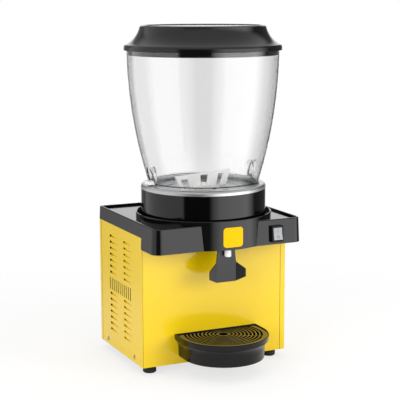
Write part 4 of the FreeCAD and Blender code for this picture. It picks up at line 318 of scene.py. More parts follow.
def zinc_screw(colour, proud):
    """Turned steel under bright zinc: crisp highlights, with painted shade in the cross and round the edge.
    """
    material = even_finish(
        "bright_zinc_screw", colour, roughness=0.3, grain=0.6, relief=0.01, cloud=4, change=0.06, Metallic=1.0
    )
    tree = material.node_tree
    place = tree.nodes["Texture Coordinate"].outputs["Object"]
    place = add(tree, "ShaderNodeSeparateXYZ", {0: place}).outputs
    # How far a point stands off the sheet that its screw holds, at the sides and at the rear.
    side = add(tree, "ShaderNodeMath", {0: place["X"]}, operation="ABSOLUTE")
    side = add(tree, "ShaderNodeMath", {0: side, 1: SCREWS_HIGH.x - proud}, operation="SUBTRACT")
    rear = add(tree, "ShaderNodeMath", {0: place["Y"], 1: SCREWS_HIGH.y - proud}, operation="SUBTRACT")
    height = add(tree, "ShaderNodeMath", {0: side, 1: rear}, operation="MAXIMUM")
    # Painted shade: every point low on the head, in the cross recess and round its foot, is coloured dark.
    painted_recess_shade = add(tree, "ShaderNodeMath", {0: height, 1: 0.4 * proud}, operation="LESS_THAN")
    darken(material, painted_recess_shade, linear("#2A2924"))
    return material


def drawn_copper(colour):
    """Drawn copper tube: bright, with brown clouds where it has been handled and brazed."""
    material, tree, place = blank_finish("drawn_copper")
    tarnish = add(tree, "ShaderNodeTexNoise", {"Vector": place, "Scale": 1 / (22 * MM), "Detail": 5.0})
    share = add(
        tree, "ShaderNodeMapRange", {"Value": tarnish.outputs["Fac"], "From Min": 0.42, "From Max": 0.68}
    )
    base = add(
        tree, "ShaderNodeMix", {0: share, 6: shade(colour), 7: shade(linear("#7A4A32"))}, data_type="RGBA"
    )
    gloss = add(tree, "ShaderNodeMapRange", {"Value": share, "To Min": 0.26, "To Max": 0.48})
    shader = add(
        tree, "ShaderNodeBsdfPrincipled", {"Base Color": base.outputs[2], "Metallic": 1.0, "Roughness": gloss}
    )
    add(tree, "ShaderNodeOutputMaterial", {"Surface": shader})
    return material


def stacked_fins(colour):
    """Aluminium fins pressed on tubes: thin bright edges, with painted shade in the gaps between them."""
    material, tree, place = blank_finish("aluminium_fins")
    # Fins are 1.8 mm apart; here they are 3 mm, so that they show.
    edges = add(
        tree, "ShaderNodeTexWave", {"Vector": place, "Scale": 0.1 / (3 * MM) * math.pi, "Distortion": 0.0},
        wave_type="BANDS", bands_direction="Y",
    )
    thin = add(tree, "ShaderNodeMapRange", {"Value": edges.outputs["Fac"], "From Min": 0.8, "From Max": 1.0})
    # Painted shade: the gaps between the fin edges are coloured nearly black.
    base = add(
        tree, "ShaderNodeMix", {0: thin, 6: shade(colour, 0.02), 7: shade(colour, 0.6)}, data_type="RGBA"
    )
    bump = add(tree, "ShaderNodeBump", {"Height": thin, "Strength": 0.8, "Distance": 0.4 * MM})
    shader = add(
        tree, "ShaderNodeBsdfPrincipled",
        {"Base Color": base.outputs[2], "Metallic": 1.0, "Roughness": 0.35, "Normal": bump},
    )
    add(tree, "ShaderNodeOutputMaterial", {"Surface": shader})
    return material


def cell_foam(colour):
    """Closed-cell foam: matt, with cells of about 2 mm that dimple its skin."""
    material, tree, place = blank_finish("closed_cell_foam")
    cells = add(
        tree, "ShaderNodeTexVoronoi", {"Vector": place, "Scale": 1 / (2.5 * MM)}, feature="F1"
    ).outputs["Distance"]
    base = add(
        tree, "ShaderNodeMix", {0: cells, 6: shade(colour, 0.88), 7: shade(colour, 1.04)}, data_type="RGBA"
    )
    bump = add(tree, "ShaderNodeBump", {"Height": cells, "Strength": 0.7, "Distance": 0.6 * MM})
    shader = add(
        tree, "ShaderNodeBsdfPrincipled", {"Base Color": base.outputs[2], "Roughness": 0.92, "Normal": bump}
    )
    add(tree, "ShaderNodeOutputMaterial", {"Surface": shader})
    return material


def clear_bowl(colour):
    """Blown clear polycarbonate: polished, with slow waves in its wall that bend what shows through."""
    material, tree, place = blank_finish("blown_clear_polycarbonate")
    waves = add(tree, "ShaderNodeTexNoise", {"Vector": place, "Scale": 1 / (60 * MM), "Detail": 0.0})
    bump = add(
        tree, "ShaderNodeBump", {"Height": waves.outputs["Fac"], "Strength": 0.3, "Distance": 0.1 * MM}
    )
    shader = add(
        tree, "ShaderNodeBsdfPrincipled",
        {"Base Color": shade(colour), "Roughness": 0.01, "IOR": 1.58, "Transmission Weight": 1.0,
         "Normal": bump},
    )
    # Lamps shine straight through the wall on to what is inside, as they do through a thin clear one.
    clear = add(tree, "ShaderNodeBsdfTransparent", {"Color": shade(colour)})
    shadow = add(tree, "ShaderNodeLightPath").outputs["Is Shadow Ray"]
    both = add(tree, "ShaderNodeMixShader", {0: shadow, 1: shader, 2: clear})
    add(tree, "ShaderNodeOutputMaterial", {"Surface": both})
    return material


def coat_nodes(names, material):
    """Give carried-over nodes a finish."""
    for name in names:
        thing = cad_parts[name]
        if not thing.material_slots:
            thing.data.materials.append(material)
        for slot in thing.material_slots:
            slot.link = "OBJECT"
            slot.material = material


def new_tree(name, inputs):
    """A Geometry Nodes tree with named inputs, and its input sockets by name."""
    tree = bpy.data.node_groups.new(name, "GeometryNodeTree")
    tree.interface.new_socket("Geometry", in_out="INPUT", socket_type="NodeSocketGeometry")
    tree.interface.new_socket("Geometry", in_out="OUTPUT", socket_type="NodeSocketGeometry")
    for label, kind in inputs.items():
        tree.interface.new_socket(label, in_out="INPUT", socket_type="NodeSocket" + kind)
    return tree, add(tree, "NodeGroupInput").outputs


def end_tree(tree, geometry, finish):
    """Close a tree with real meshes and one finish."""
    real = add(tree, "GeometryNodeRealizeInstances", {"Geometry": geometry})
    coated = add(tree, "GeometryNodeSetMaterial", {"Geometry": real, "Material": finish})
    add(tree, "NodeGroupOutput", {"Geometry": coated})


def grow(name, tree, values, mesh=None):
    """A plain mesh object from a tree, whose inputs are set before it is first evaluated."""
    thing = bpy.data.objects.new(name, mesh or bpy.data.meshes.new(name))
    modifier = thing.modifiers.new("shape", "NODES")
    modifier.node_group = tree
    for item in tree.interface.items_tree:
        if item.in_out == "INPUT" and item.name in values:
            modifier[item.identifier] = values[item.name]
    bpy.context.scene.collection.objects.link(thing)
    seen = thing.evaluated_get(bpy.context.evaluated_depsgraph_get())
    made = bpy.data.meshes.new_from_object(seen)
    thing.modifiers.remove(modifier)
    thing.data = made
    if not made.polygons:
        raise RuntimeError(name + " came out empty")
    return thing


def settle(thing, body, slot, *stands_for):
    """A finished piece rides on its body and hides the carried-over nodes it stands for; slot is not used."""
    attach(thing, body)
    if stands_for:
        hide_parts(*stands_for)


class DISPENSER_OT_finishes(bpy.types.Operator):
    """Finishes of the carried-over pieces"""

    bl_idname = "dispenser.finishes"
    bl_label = "Finishes"

    def execute(self, context):
        colours = context.scene.dispenser_colours
        black, glossy = colours.moulding, colours.collar
        coat_nodes(
            ["left_side_panel", "right_side_panel", "front_panel", "rear_panel"], coated_sheet(colours.paint)
        )
        # Injection moulded ABS with a fine spark-eroded grain: satin, softens what it mirrors.
        coat_nodes(["top_deck"], even_finish(
            "moulded_abs_deck", black, roughness=0.1, grain=1.2, relief=0.02, cloud=60, change=0.1, IOR=1.5
        ))
        # Injection moulded ABS from a polished tool: mirrors the lamps with sharp edges.
        coat_nodes(["cooling_collar"], even_finish(
            "moulded_abs_collar", glossy, roughness=0.08, grain=6, relief=0.01, cloud=80, change=0.1, IOR=1.5
        ))
        # Moulded ABS with a half-matt tool: broad soft highlights.
        coat_nodes(["lid"], even_finish(
            "moulded_abs_lid", black, roughness=0.14, grain=1.2, relief=0.02, cloud=70, change=0.1, IOR=1.5
        ))
        # Glass-filled nylon: tough small parts, a little duller than the ABS beside them.
        coat_nodes(["tap_lever", "tap_block", "relay_box", "fan_blades"], even_finish(
            "moulded_nylon", black, roughness=0.3, grain=1, relief=0.03, cloud=30, change=0.12, IOR=1.53
        ))
        # Nylon with a coarser matt grain: darker than what is round it, because it mirrors little.
        coat_nodes(["switch_bezel"], even_finish(
            "moulded_matt_nylon", black, roughness=0.5, grain=0.8, relief=0.05, cloud=15, change=0.1, IOR=1.3
        ))
        # Moulded ABS that is wiped every day: satin with a clean gloss.
        coat_nodes(["drip_tray"], even_finish(
            "moulded_abs_tray", glossy, roughness=0.12, grain=2, relief=0.01, cloud=60, change=0.1, IOR=1.36
        ))
        # Moulded rubber: matt and slightly grey, with a soft sheen where light grazes it.
        coat_nodes(["rubber_feet", "bowl_gasket", "compressor_grommets", "cord_gland"], even_finish(
            "moulded_rubber", linear("#161617"), roughness=0.62, grain=1.5, relief=0.06, cloud=20,
            change=0.15, IOR=1.52
        ))
        # Moulded acetal: opaque white, slick, with a slight depth to its skin.
        whites = ["mixer_paddle", "bowl_lugs", "tap_spout", "valve_plunger", "outlet_tube", "terminal_block",
                  "thermostat_spindle"]
        coat_nodes(whites, even_finish(
            "moulded_acetal", colours.white, roughness=0.3, grain=1.5, relief=0.02, cloud=25,
            change=0.02, IOR=1.48
        ))
        # Moulded grey nylon: satin, even.
        coat_nodes(["switch_rocker", "thermostat"], even_finish(
            "moulded_grey_nylon", colours.rocker, roughness=0.3, grain=1, relief=0.02, cloud=15,
            change=0.03, IOR=1.53
        ))
        # Stoved enamel on steel cans: deep black with a slight orange peel.
        coat_nodes(["mixer_motor", "compressor", "fan_motor"], even_finish(
            "black_enamelled_steel", linear("#111214"), roughness=0.25, grain=3, relief=0.05, cloud=60,
            change=0.12, IOR=1.5
        ))
        # Pressed and fired ferrite: dark grey, dull, with a fine speckle.
        coat_nodes(["drive_magnet"], even_finish(
            "pressed_ferrite", linear("#37373A"), roughness=0.6, grain=0.8, relief=0.04, cloud=5,
            change=0.2, IOR=2
        ))
        coat_nodes(["cold_plate", "valve_spring", "lever_pin"], spun_steel(colours.steel))
        coat_nodes(["bowl"], clear_bowl(colours.clear))
        coat_nodes(
            ["base_pan", "motor_strap", "compressor_plate", "fan_shroud", "fan_bracket", "body_screws"],
            zinc_plate(linear("#B4B6B8")),
        )
        coat_nodes(["insulation"], cell_foam(linear("#E3D9B4")))
        coat_nodes(["condenser_fins"], stacked_fins(linear("#C6C8CA")))
        coat_nodes(
            ["evaporator_jacket", "suction_pipe", "discharge_pipe", "filter_drier"],
            drawn_copper(linear("#C47A50")),
        )
        return {"FINISHED"}


class DISPENSER_OT_grille(bpy.types.Operator):
    """Drip grille: concentric rings on radial ribs inside a half-round rim"""

    bl_idname = "dispenser.grille"
    bl_label = "Drip grille"

    def execute(self, context):
        sizes = context.scene.dispenser_sizes
        radius = (GRILLE_HIGH.x - GRILLE_LOW.x) / 2
        centre = (0, GRILLE_LOW.y + radius, GRILLE_LOW.z)
        # Moulded ABS with a satin grain, as the tray under it.
        finish = even_finish(
            "moulded_abs_grille", context.scene.dispenser_colours.collar,
            roughness=0.1, grain=1.5, relief=0.01, cloud=40, change=0.1, IOR=1.5,
        )
        grille = grow("drip_grille_rings", self.plan(), {
            "Radius": radius, "Back": GRILLE_HIGH.y - centre[1], "Thickness": GRILLE_HIGH.z - GRILLE_LOW.z,
            "Rim": sizes.grille_rim, "First slot": sizes.first_slot, "Slot spacing": sizes.slot_pitch,
            "Slot width": sizes.slot_width, "Hub hole": sizes.hub_hole, "Rib width": sizes.rib_width,
            "Rib height": sizes.rib_height, "Slots": sizes.slots, "Ribs": sizes.ribs, "Centre": centre,
            "Finish": finish,
        })
        settle(grille, "grille", "black_plastic", "drip_grille")
        return {"FINISHED"}

    def plan(self):
        """The grille's tree: rings and ribs, cut off at the rim's inner edge, then the rim and the hub."""
        inputs = dict.fromkeys(
            ("Radius", "Back", "Thickness", "Rim", "First slot", "Slot spacing", "Slot width", "Hub hole",
             "Rib width", "Rib height"), "Float",
        )
        inputs.update({"Slots": "Int", "Ribs": "Int", "Centre": "Vector", "Finish": "Material"})
        tree, given = new_tree("drip_grille_rings", inputs)
        first, spacing, width = given["First slot"], given["Slot spacing"], given["Slot width"]
        hole, thickness = given["Hub hole"], given["Thickness"]
        half_slot = add(tree, "ShaderNodeMath", {0: width, 1: 0.5}, operation="MULTIPLY")
        bar = add(tree, "ShaderNodeMath", {0: spacing, 1: width}, operation="SUBTRACT")
        last = add(tree, "ShaderNodeMath", {0: given["Slots"], 1: 1.0}, operation="SUBTRACT")
        reach = add(tree, "ShaderNodeMath", {0: last, 1: spacing, 2: first}, operation="MULTIPLY_ADD")
        reach = add(tree, "ShaderNodeMath", {0: reach, 1: half_slot}, operation="ADD")
        inside = add(tree, "ShaderNodeMath", {0: given["Back"], 1: given["Rim"]}, operation="SUBTRACT")

        def outline(radius, back):
            """A closed half-round outline."""
            lean = add(tree, "ShaderNodeMath", {0: back, 1: radius}, operation="DIVIDE")
            lean = add(tree, "ShaderNodeMath", {0: lean}, operation="ARCSINE")
            start = add(tree, "ShaderNodeMath", {0: math.pi, 1: lean}, operation="SUBTRACT")
            sweep = add(tree, "ShaderNodeMath", {0: lean, 1: 2.0, 2: math.pi}, operation="MULTIPLY_ADD")
            arc = add(
                tree, "GeometryNodeCurveArc",
                {"Resolution": 128, "Radius": radius, "Start Angle": start, "Sweep Angle": sweep},
            )
            return add(tree, "GeometryNodeSetSplineCyclic", {"Geometry": arc, "Cyclic": True})

        def slab(curves, height, low):
            """A flat slab over outlines, a height thick and starting at a level."""
            face = add(tree, "GeometryNodeFillCurve", {"Curve": curves}, mode="NGONS")
            raised = add(
                tree, "GeometryNodeExtrudeMesh", {"Mesh": face, "Offset Scale": height, "Individual": False}
            )
            turned = add(tree, "GeometryNodeFlipFaces", {"Mesh": face})
            both = add(tree, "GeometryNodeJoinGeometry", {0: [raised, turned]})
            merged = add(tree, "GeometryNodeMergeByDistance", {"Geometry": both, "Distance": 1e-6})
            return add(tree, "GeometryNodeTransform", {"Geometry": merged, "Translation": (0, 0, low)})

        def swept(curves, width):
            """Rings with softly rounded edges, as thick as the grille."""
            section = add(
                tree, "GeometryNodeCurvePrimitiveQuadrilateral", {"Width": width, "Height": thickness}
            )
            soft = add(
                tree, "GeometryNodeFilletCurve", {"Curve": section, "Radius": 0.5 * MM, "Count": 2},
                mode="POLY",
            )
            made = add(
                tree, "GeometryNodeCurveToMesh", {"Curve": curves, "Profile Curve": soft, "Fill Caps": False}
            )
            half = add(tree, "ShaderNodeMath", {0: thickness, 1: 0.5}, operation="MULTIPLY")
            lift = add(tree, "ShaderNodeCombineXYZ", {"Z": half})
            return add(tree, "GeometryNodeTransform", {"Geometry": made, "Translation": lift})

        # One ring between each slot and the next.
        index = add(tree, "GeometryNodeInputIndex")
        steps = add(tree, "ShaderNodeMath", {0: index, 1: 0.5}, operation="ADD")
        radius = add(tree, "ShaderNodeMath", {0: steps, 1: spacing, 2: first}, operation="MULTIPLY_ADD")
        size = add(tree, "ShaderNodeCombineXYZ", {"X": radius, "Y": radius, "Z": 1.0})
        spots = add(tree, "GeometryNodePoints", {"Count": last})
        circle = add(tree, "GeometryNodeCurvePrimitiveCircle", {"Resolution": 120, "Radius": 1.0})
        rings = add(
            tree, "GeometryNodeInstanceOnPoints", {"Points": spots, "Instance": circle, "Scale": size}
        )
        rings = swept(add(tree, "GeometryNodeRealizeInstances", {"Geometry": rings}), bar)
        hub_width = add(tree, "ShaderNodeMath", {0: first, 1: half_slot}, operation="SUBTRACT")
        hub_width = add(tree, "ShaderNodeMath", {0: hub_width, 1: hole}, operation="SUBTRACT")
        middle = add(tree, "ShaderNodeMath", {0: hub_width, 1: 0.5, 2: hole}, operation="MULTIPLY_ADD")
        hub = add(tree, "GeometryNodeCurvePrimitiveCircle", {"Resolution": 64, "Radius": middle})
        hub = swept(hub, hub_width)
        # Ribs reach from the hub into the rim.
        size = add(
            tree, "ShaderNodeCombineXYZ", {"X": reach, "Y": given["Rib width"], "Z": given["Rib height"]}
        )
        rib = add(tree, "GeometryNodeMeshCube", {"Size": size})
        out = add(tree, "ShaderNodeMath", {0: reach, 1: 0.5, 2: middle}, operation="MULTIPLY_ADD")
        half = add(tree, "ShaderNodeMath", {0: given["Rib height"], 1: 0.5}, operation="MULTIPLY")
        away = add(tree, "ShaderNodeCombineXYZ", {"X": out, "Z": half})
        rib = add(tree, "GeometryNodeTransform", {"Geometry": rib, "Translation": away})
        share = add(tree, "ShaderNodeMath", {0: 2 * math.pi, 1: given["Ribs"]}, operation="DIVIDE")
        angle = add(tree, "ShaderNodeMath", {0: index, 1: share}, operation="MULTIPLY")
        turn = add(tree, "ShaderNodeCombineXYZ", {"Z": angle})
        spots = add(tree, "GeometryNodePoints", {"Count": given["Ribs"]})
        ribs = add(
            tree, "GeometryNodeInstanceOnPoints", {"Points": spots, "Instance": rib, "Rotation": turn}
        )
        ribs = add(tree, "GeometryNodeRealizeInstances", {"Geometry": ribs})
        # They are cut with the rings a little inside the rim, so that they join it.
        overlap, tall = 0.3 * MM, 20 * MM
        wide = add(tree, "ShaderNodeMath", {0: reach, 1: overlap}, operation="ADD")
        deep = add(tree, "ShaderNodeMath", {0: inside, 1: overlap}, operation="ADD")
        cutter = slab(outline(wide, deep), tall, -tall / 2)
        pieces = [
            add(tree, "GeometryNodeMeshBoolean", {1: [piece, cutter]}, operation="INTERSECT", solver="EXACT")
            for piece in (rings, ribs)
        ]
        rim = [outline(given["Radius"], given["Back"]), outline(reach, inside)]
        rim = slab(add(tree, "GeometryNodeJoinGeometry", {0: rim}), thickness, 0.0)
        everything = add(tree, "GeometryNodeJoinGeometry", {0: [*pieces, rim, hub]})
        placed = add(
            tree, "GeometryNodeTransform", {"Geometry": everything, "Translation": given["Centre"]}
        )
        end_tree(tree, placed, given["Finish"])
        return tree


class DISPENSER_OT_screws(bpy.types.Operator):
    """Cross-recessed heads of the body screws"""

    bl_idname = "dispenser.screws"
    bl_label = "Body screws"

    def execute(self, context):
        sizes = context.scene.dispenser_sizes
        mesh = bpy.data.meshes.new("screw_spots")
        spots, ways = self.find_spots(sizes.head_proud)
        mesh.from_pydata(spots, [], [])
        data = mesh.attributes.new("way", "FLOAT_VECTOR", "POINT").data
        for item, direction in zip(data, ways):
            item.vector = direction
        values = {
            "Radius": sizes.head_radius, "Height": sizes.head_proud,
            "Finish": zinc_screw(linear("#D9DADB"), sizes.head_proud),
        }
        settle(grow("screw_heads", self.plan(), values, mesh), "housing", "galvanised", "body_screws")
        return {"FINISHED"}

    def find_spots(self, proud):
        """Where each head sits and which way it looks, from the loose groups of the node's mesh."""
        source = bmesh.new()
        source.from_mesh(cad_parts["body_screws"].data)
        bmesh.ops.remove_doubles(source, verts=source.verts, dist=1e-6)
        done, spots, ways = set(), [], []
        for start in source.verts:
            group, front = [], [start]
            while front:
                corner = front.pop()
                if corner not in done:
                    done.add(corner)
                    group.append(corner)
                    front += [edge.other_vert(corner) for edge in corner.link_edges]
            if not group:
                continue
            low = Vector([min(v.co[i] for v in group) for i in range(3)])
            high = Vector([max(v.co[i] for v in group) for i in range(3)])
            middle = (low + high) / 2
            if high.y > SCREWS_HIGH.y - 1e-6:
                spot, way = (middle.x, high.y - proud, middle.z), (0, 1, 0)
            elif middle.x < 0:
                spot, way = (low.x + proud, middle.y, middle.z), (-1, 0, 0)
            else:
                spot, way = (high.x - proud, middle.y, middle.z), (1, 0, 0)
            spots.append(spot)
            ways.append(way)
        source.free()
        return spots, ways

    def plan(self):
        """The screws' tree: a domed head with a cross recess at each spot."""
        tree, given = new_tree("screw_heads", {"Radius": "Float", "Height": "Float", "Finish": "Material"})
        radius, height = given["Radius"], given["Height"]
        # The dome is the cap of a ball that is as wide and as high as the head.
        wide = add(tree, "ShaderNodeMath", {0: radius, 1: radius}, operation="MULTIPLY")
        both = add(tree, "ShaderNodeMath", {0: height, 1: height, 2: wide}, operation="MULTIPLY_ADD")
        twice = add(tree, "ShaderNodeMath", {0: height, 1: 2.0}, operation="MULTIPLY")
        ball = add(tree, "ShaderNodeMath", {0: both, 1: twice}, operation="DIVIDE")
        sunk = add(tree, "ShaderNodeMath", {0: height, 1: ball}, operation="SUBTRACT")
        sunk = add(tree, "ShaderNodeCombineXYZ", {"Z": sunk})
        dome = add(tree, "GeometryNodeMeshUVSphere", {"Segments": 40, "Rings": 48, "Radius": ball})
        dome = add(tree, "GeometryNodeTransform", {"Geometry": dome, "Translation": sunk})
        width = add(tree, "ShaderNodeMath", {0: radius, 1: 4.0}, operation="MULTIPLY")
        size = add(tree, "ShaderNodeCombineXYZ", {"X": width, "Y": width, "Z": width})
        block = add(tree, "GeometryNodeMeshCube", {"Size": size})
        half = add(tree, "ShaderNodeMath", {0: width, 1: 0.5}, operation="MULTIPLY")
        lift = add(tree, "ShaderNodeCombineXYZ", {"Z": half})
        block = add(tree, "GeometryNodeTransform", {"Geometry": block, "Translation": lift})
        head = add(
            tree, "GeometryNodeMeshBoolean", {1: [dome, block]}, operation="INTERSECT", solver="EXACT"
        )
        # The two arms of the recess, as shares of the head.
        long = add(tree, "ShaderNodeMath", {0: radius, 1: 1.2}, operation="MULTIPLY")
        thin = add(tree, "ShaderNodeMath", {0: radius, 1: 0.36}, operation="MULTIPLY")
        lift = add(tree, "ShaderNodeMath", {0: height, 1: 0.7}, operation="MULTIPLY")
        lift = add(tree, "ShaderNodeCombineXYZ", {"Z": lift})
        for x, y in ((long, thin), (thin, long)):
            size = add(tree, "ShaderNodeCombineXYZ", {"X": x, "Y": y, "Z": height})
            arm = add(tree, "GeometryNodeMeshCube", {"Size": size})
            arm = add(tree, "GeometryNodeTransform", {"Geometry": arm, "Translation": lift})
            head = add(
                tree, "GeometryNodeMeshBoolean", {0: head, 1: arm}, operation="DIFFERENCE", solver="EXACT"
            )
        way = add(tree, "GeometryNodeInputNamedAttribute", {"Name": "way"}, data_type="FLOAT_VECTOR")
        turn = add(
            tree, "FunctionNodeAlignRotationToVector", {"Vector": way.outputs["Attribute"]}, axis="Z"
        )
        heads = add(
            tree, "GeometryNodeInstanceOnPoints",
            {"Points": given["Geometry"], "Instance": head, "Rotation": turn},
        )
        end_tree(tree, heads, given["Finish"])
        return tree


class DISPENSER_OT_plate(bpy.types.Operator):
    """Bare plate on the bulge over the tap"""

    bl_idname = "dispenser.plate"
    bl_label = "Bare plate"

    def execute(self, context):
        sizes = context.scene.dispenser_sizes
        half, tall, corner = sizes.plate_width / 2, sizes.plate_height, sizes.plate_corner
        radius = AXIS_Y - DECK_LOW.y
        low = DECK_LOW.z + 6 * MM
        turns, across = 8, 24
        levels = [corner * (1 - math.cos(math.pi / 2 * i / turns)) for i in range(turns + 1)]
        # Each row is a height over the plate's foot and half the plate's width there.
        rows = [
            (level, half - corner + math.sqrt(max(0, corner ** 2 - (corner - level) ** 2)))
            for level in levels
        ]
        rows += [(tall / 2, half)] + [(tall - level, reach) for level, reach in reversed(rows)]
        made = bmesh.new()
        grid = []
        for level, reach in rows:
            line = []
            for step in range(across + 1):
                angle = (2 * step / across - 1) * reach / radius
                line.append(made.verts.new(
                    (radius * math.sin(angle), AXIS_Y - radius * math.cos(angle), low + level)
                ))
            grid.append(line)
        for under, over in zip(grid, grid[1:]):
            for i in range(across):
                made.faces.new((under[i], under[i + 1], over[i + 1], over[i]))
        mesh = bpy.data.meshes.new("bare_plate")
        made.to_mesh(mesh)
        made.free()
        plate = bpy.data.objects.new("bare_plate", mesh)
        context.scene.collection.objects.link(plate)
        thick = plate.modifiers.new("thickness", "SOLIDIFY")
        thick.thickness = sizes.plate_proud
        thick.offset = 1
        edge = plate.modifiers.new("edge", "BEVEL")
        edge.width = 0.5 * MM
        edge.segments = 3
        edge.limit_method = "ANGLE"
        for face in mesh.polygons:
            face.use_smooth = True
        # Moulded and painted ABS: a smooth satin yellow, a touch deeper than the sheet body.
        mesh.materials.append(even_finish(
            "painted_abs_plate", context.scene.dispenser_colours.plate,
            roughness=0.5, grain=2, relief=0.02, cloud=20, change=0.03, IOR=1.25,
        ))
        settle(plate, "housing", "yellow_paint")
        return {"FINISHED"}


class DISPENSER_OT_marks(bpy.types.Operator):
    """On and off marks of the rocker"""

    bl_idname = "dispenser.marks"
    bl_label = "Rocker marks"

    def execute(self, context):
        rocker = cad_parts["switch_rocker"].data
        skin = BVHTree.FromPolygons(
            [v.co for v in rocker.vertices], [list(p.vertices) for p in rocker.polygons]
        )
        middle = (ROCKER_LOW + ROCKER_HIGH) / 2
        tall = ROCKER_HIGH.z - ROCKER_LOW.z
        stroke, ring, rise, ink_depth = 1.3 * MM, 2.6 * MM, 0.08 * MM, 0.06 * MM
        line, away = tall * 0.26, tall * 0.24
        made = bmesh.new()

        def strip(outline, closed):
            """A thin raised strip between two outlines on the rocker's face."""
            corners = []
            for x, z in outline:
                hit, normal, _, _ = skin.ray_cast(Vector((middle.x + x, -1, middle.z + z)), Vector((0, 1, 0)))
                if hit is None:
                    raise RuntimeError("a mark misses the rocker")
                corners.append(made.verts.new(hit + normal * rise))
            pairs = len(corners) // 2
            for i in range(pairs if closed else pairs - 1):
                j = (i + 1) % pairs
                made.faces.new((corners[2 * i], corners[2 * i + 1], corners[2 * j + 1], corners[2 * j]))

        steps, turns = 8, 32
        points = []
        for i in range(steps + 1):
            z = away + line * (i / steps - 0.5)
            points += [(-stroke / 2, z), (stroke / 2, z)]
        strip(points, False)
        points = []
        for i in range(turns):
            angle = 2 * math.pi * i / turns
            for reach in (ring, ring - stroke):
                points.append((reach * math.cos(angle), reach * math.sin(angle) - away))
        strip(points, True)
        bmesh.ops.recalc_face_normals(made, faces=made.faces)
        mesh = bpy.data.meshes.new("rocker_marks")
        made.to_mesh(mesh)
        made.free()
        marks = bpy.data.objects.new("rocker_marks", mesh)
        context.scene.collection.objects.link(marks)
        ink = marks.modifiers.new("thickness", "SOLIDIFY")
        ink.thickness = ink_depth
        ink.offset = -1
        # Pad-printed ink: flat dark grey with a slight grain.
        mesh.materials.append(even_finish(
            "printed_ink", context.scene.dispenser_colours.mark,
            roughness=0.5, grain=0.6, relief=0.005, cloud=3, change=0.1, IOR=1.45,
        ))
        settle(marks, "rocker", "black_plastic")
        return {"FINISHED"}


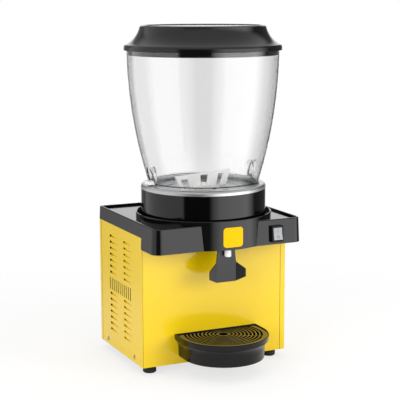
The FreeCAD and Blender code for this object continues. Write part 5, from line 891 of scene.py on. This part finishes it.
class DISPENSER_OT_stage(bpy.types.Operator):
    """Camera, pale floor, soft lamps and the surroundings that gloss shows"""

    bl_idname = "dispenser.stage"
    bl_label = "Studio"

    def execute(self, context):
        self.aim_camera(context.scene)
        self.lay_floor(context.scene)
        self.hang_lamps(context.scene)
        self.light_surroundings(context.scene)
        return {"FINISHED"}

    def aim_camera(self, scene):
        """The photograph's viewing angle."""
        scene.view_settings.view_transform = "Standard"
        yaw, pitch, roll = (math.radians(angle) for angle in (CAMERA_YAW, CAMERA_PITCH, CAMERA_ROLL))
        forward = Vector((math.sin(yaw) * math.cos(pitch), math.cos(yaw) * math.cos(pitch), -math.sin(pitch)))
        right = Vector((math.cos(yaw), -math.sin(yaw), 0))
        turn = Matrix((right, right.cross(forward), -forward)).transposed().to_4x4()
        data = bpy.data.cameras.new("photo_camera")
        data.lens = CAMERA_LENS
        data.sensor_width = 36
        camera = bpy.data.objects.new("photo_camera", data)
        camera.matrix_world = Matrix.Translation(CAMERA_PLACE) @ turn @ Matrix.Rotation(-roll, 4, "Z")
        scene.collection.objects.link(camera)
        scene.camera = camera

    def lay_floor(self, scene):
        """A round pale floor that keeps the object's shadow and fades into the white behind it."""
        mesh = bpy.data.meshes.new("floor")
        made = bmesh.new()
        bmesh.ops.create_circle(made, cap_ends=True, segments=96, radius=FLOOR_RADIUS)
        made.to_mesh(mesh)
        made.free()
        floor = bpy.data.objects.new("floor", mesh)
        scene.collection.objects.link(floor)
        material, tree, place = blank_finish("pale_floor")
        away = add(tree, "ShaderNodeVectorMath", {0: place}, operation="LENGTH").outputs["Value"]
        fade = add(
            tree, "ShaderNodeMapRange",
            {"Value": away, "From Min": FLOOR_FADE_FROM, "From Max": FLOOR_FADE_TO},
            interpolation_type="SMOOTHSTEP",
        )
        # The camera sees the floor mostly as white, so that only the shadow's dark part shows.
        camera = add(tree, "ShaderNodeLightPath").outputs["Is Camera Ray"]
        share = add(tree, "ShaderNodeMath", {0: camera, 1: FLOOR_WHITE}, operation="MULTIPLY")
        matt = add(tree, "ShaderNodeBsdfDiffuse", {"Color": (*scene.studio_settings.floor, 1)})
        white = add(tree, "ShaderNodeEmission", {"Color": (1, 1, 1, 1), "Strength": 1.0})
        bright = add(tree, "ShaderNodeMixShader", {0: share, 1: matt, 2: white})
        clear = add(tree, "ShaderNodeBsdfTransparent")
        mixed = add(tree, "ShaderNodeMixShader", {0: fade, 1: bright, 2: clear})
        add(tree, "ShaderNodeOutputMaterial", {"Surface": mixed})
        mesh.materials.append(material)

    def hang_lamps(self, scene):
        """Three soft lamps, left, right and over the object."""
        for name, (spot, size, share) in LAMPS.items():
            lamp = bpy.data.lights.new(name, "AREA")
            lamp.shape = "SQUARE"
            lamp.size = size
            lamp.energy = scene.studio_settings.lamp * share
            holder = bpy.data.objects.new(name, lamp)
            holder.location = spot
            aim = Vector(LAMPS_AIM) - Vector(spot)
            holder.rotation_euler = aim.to_track_quat("-Z", "Y").to_euler()
            holder.visible_camera = False
            holder.visible_glossy = False
            holder.visible_transmission = False
            scene.collection.objects.link(holder)

    def light_surroundings(self, scene):
        """Even light, white to the camera, and bright and dark screens where gloss mirrors them."""
        world = bpy.data.worlds.new("studio")
        scene.world = world
        world.use_nodes = True
        tree = world.node_tree
        tree.nodes.clear()
        way = add(tree, "ShaderNodeTexCoord").outputs["Generated"]
        way = add(tree, "ShaderNodeSeparateXYZ", {0: way}).outputs
        angle = add(tree, "ShaderNodeMath", {0: way["Y"], 1: way["X"]}, operation="ARCTAN2")
        share = add(tree, "ShaderNodeMapRange", {"Value": angle, "From Min": -math.pi, "From Max": math.pi})
        ring = add(tree, "ShaderNodeValToRGB", {"Fac": share})
        stops = ring.color_ramp.elements
        while len(stops) < len(SCREENS):
            stops.new(0.5)
        for stop, (degrees, level) in zip(stops, SCREENS):
            stop.position = (degrees + 180) / 360
            stop.color = (level, level, level, 1)
        height = add(
            tree, "ShaderNodeMapRange",
            {"Value": way["Z"], "From Min": OVERHEAD_FROM, "From Max": OVERHEAD_FULL},
            interpolation_type="SMOOTHSTEP",
        )
        mirrored = add(
            tree, "ShaderNodeMix", {0: height, 6: ring, 7: (OVERHEAD,) * 3 + (1,)}, data_type="RGBA"
        ).outputs[2]
        # What a surface mirrors is the screens; what is seen directly or through the bowl is white.
        light = add(tree, "ShaderNodeLightPath").outputs
        once = add(tree, "ShaderNodeMath", {0: light["Glossy Depth"], 1: 1.0}, operation="MINIMUM")
        white = (1, 1, 1, 1)
        shown = add(tree, "ShaderNodeMix", {0: once, 6: white, 7: mirrored}, data_type="RGBA").outputs[2]
        seen = add(
            tree, "ShaderNodeMath", {0: light["Is Glossy Ray"], 1: light["Is Transmission Ray"]},
            operation="MAXIMUM",
        )
        seen = add(tree, "ShaderNodeMath", {0: seen, 1: light["Is Camera Ray"]}, operation="MAXIMUM")
        fill = (scene.studio_settings.fill,) * 3 + (1,)
        full = add(tree, "ShaderNodeMix", {0: seen, 6: fill, 7: shown}, data_type="RGBA").outputs[2]
        ground = add(tree, "ShaderNodeBackground", {"Color": full, "Strength": 1.0})
        add(tree, "ShaderNodeOutputWorld", {"Surface": ground})


class DISPENSER_PT_panel(bpy.types.Panel):
    """Steps that dress the dispenser"""

    bl_label = "Cold drink dispenser"
    bl_space_type = "VIEW_3D"
    bl_region_type = "UI"
    bl_category = "Dispenser"

    def draw(self, context):
        for step in STEPS:
            self.layout.operator(step.bl_idname)


STEPS = (
    DISPENSER_OT_finishes,
    DISPENSER_OT_grille,
    DISPENSER_OT_screws,
    DISPENSER_OT_plate,
    DISPENSER_OT_marks,
    DISPENSER_OT_stage,
)
GROUPS = (DispenserColours, DispenserSizes, StudioSettings)


def register():
    for thing in GROUPS + STEPS + (DISPENSER_PT_panel,):
        bpy.utils.register_class(thing)
    bpy.types.Scene.dispenser_colours = bpy.props.PointerProperty(type=DispenserColours)
    bpy.types.Scene.dispenser_sizes = bpy.props.PointerProperty(type=DispenserSizes)
    bpy.types.Scene.studio_settings = bpy.props.PointerProperty(type=StudioSettings)


def unregister():
    for name in ("studio_settings", "dispenser_sizes", "dispenser_colours"):
        delattr(bpy.types.Scene, name)
    for thing in reversed(GROUPS + STEPS + (DISPENSER_PT_panel,)):
        bpy.utils.unregister_class(thing)


def main():
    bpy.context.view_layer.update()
    register()
    for step in STEPS:
        group, name = step.bl_idname.split(".")
        getattr(getattr(bpy.ops, group), name)()


if __name__ == "__main__":
    main()
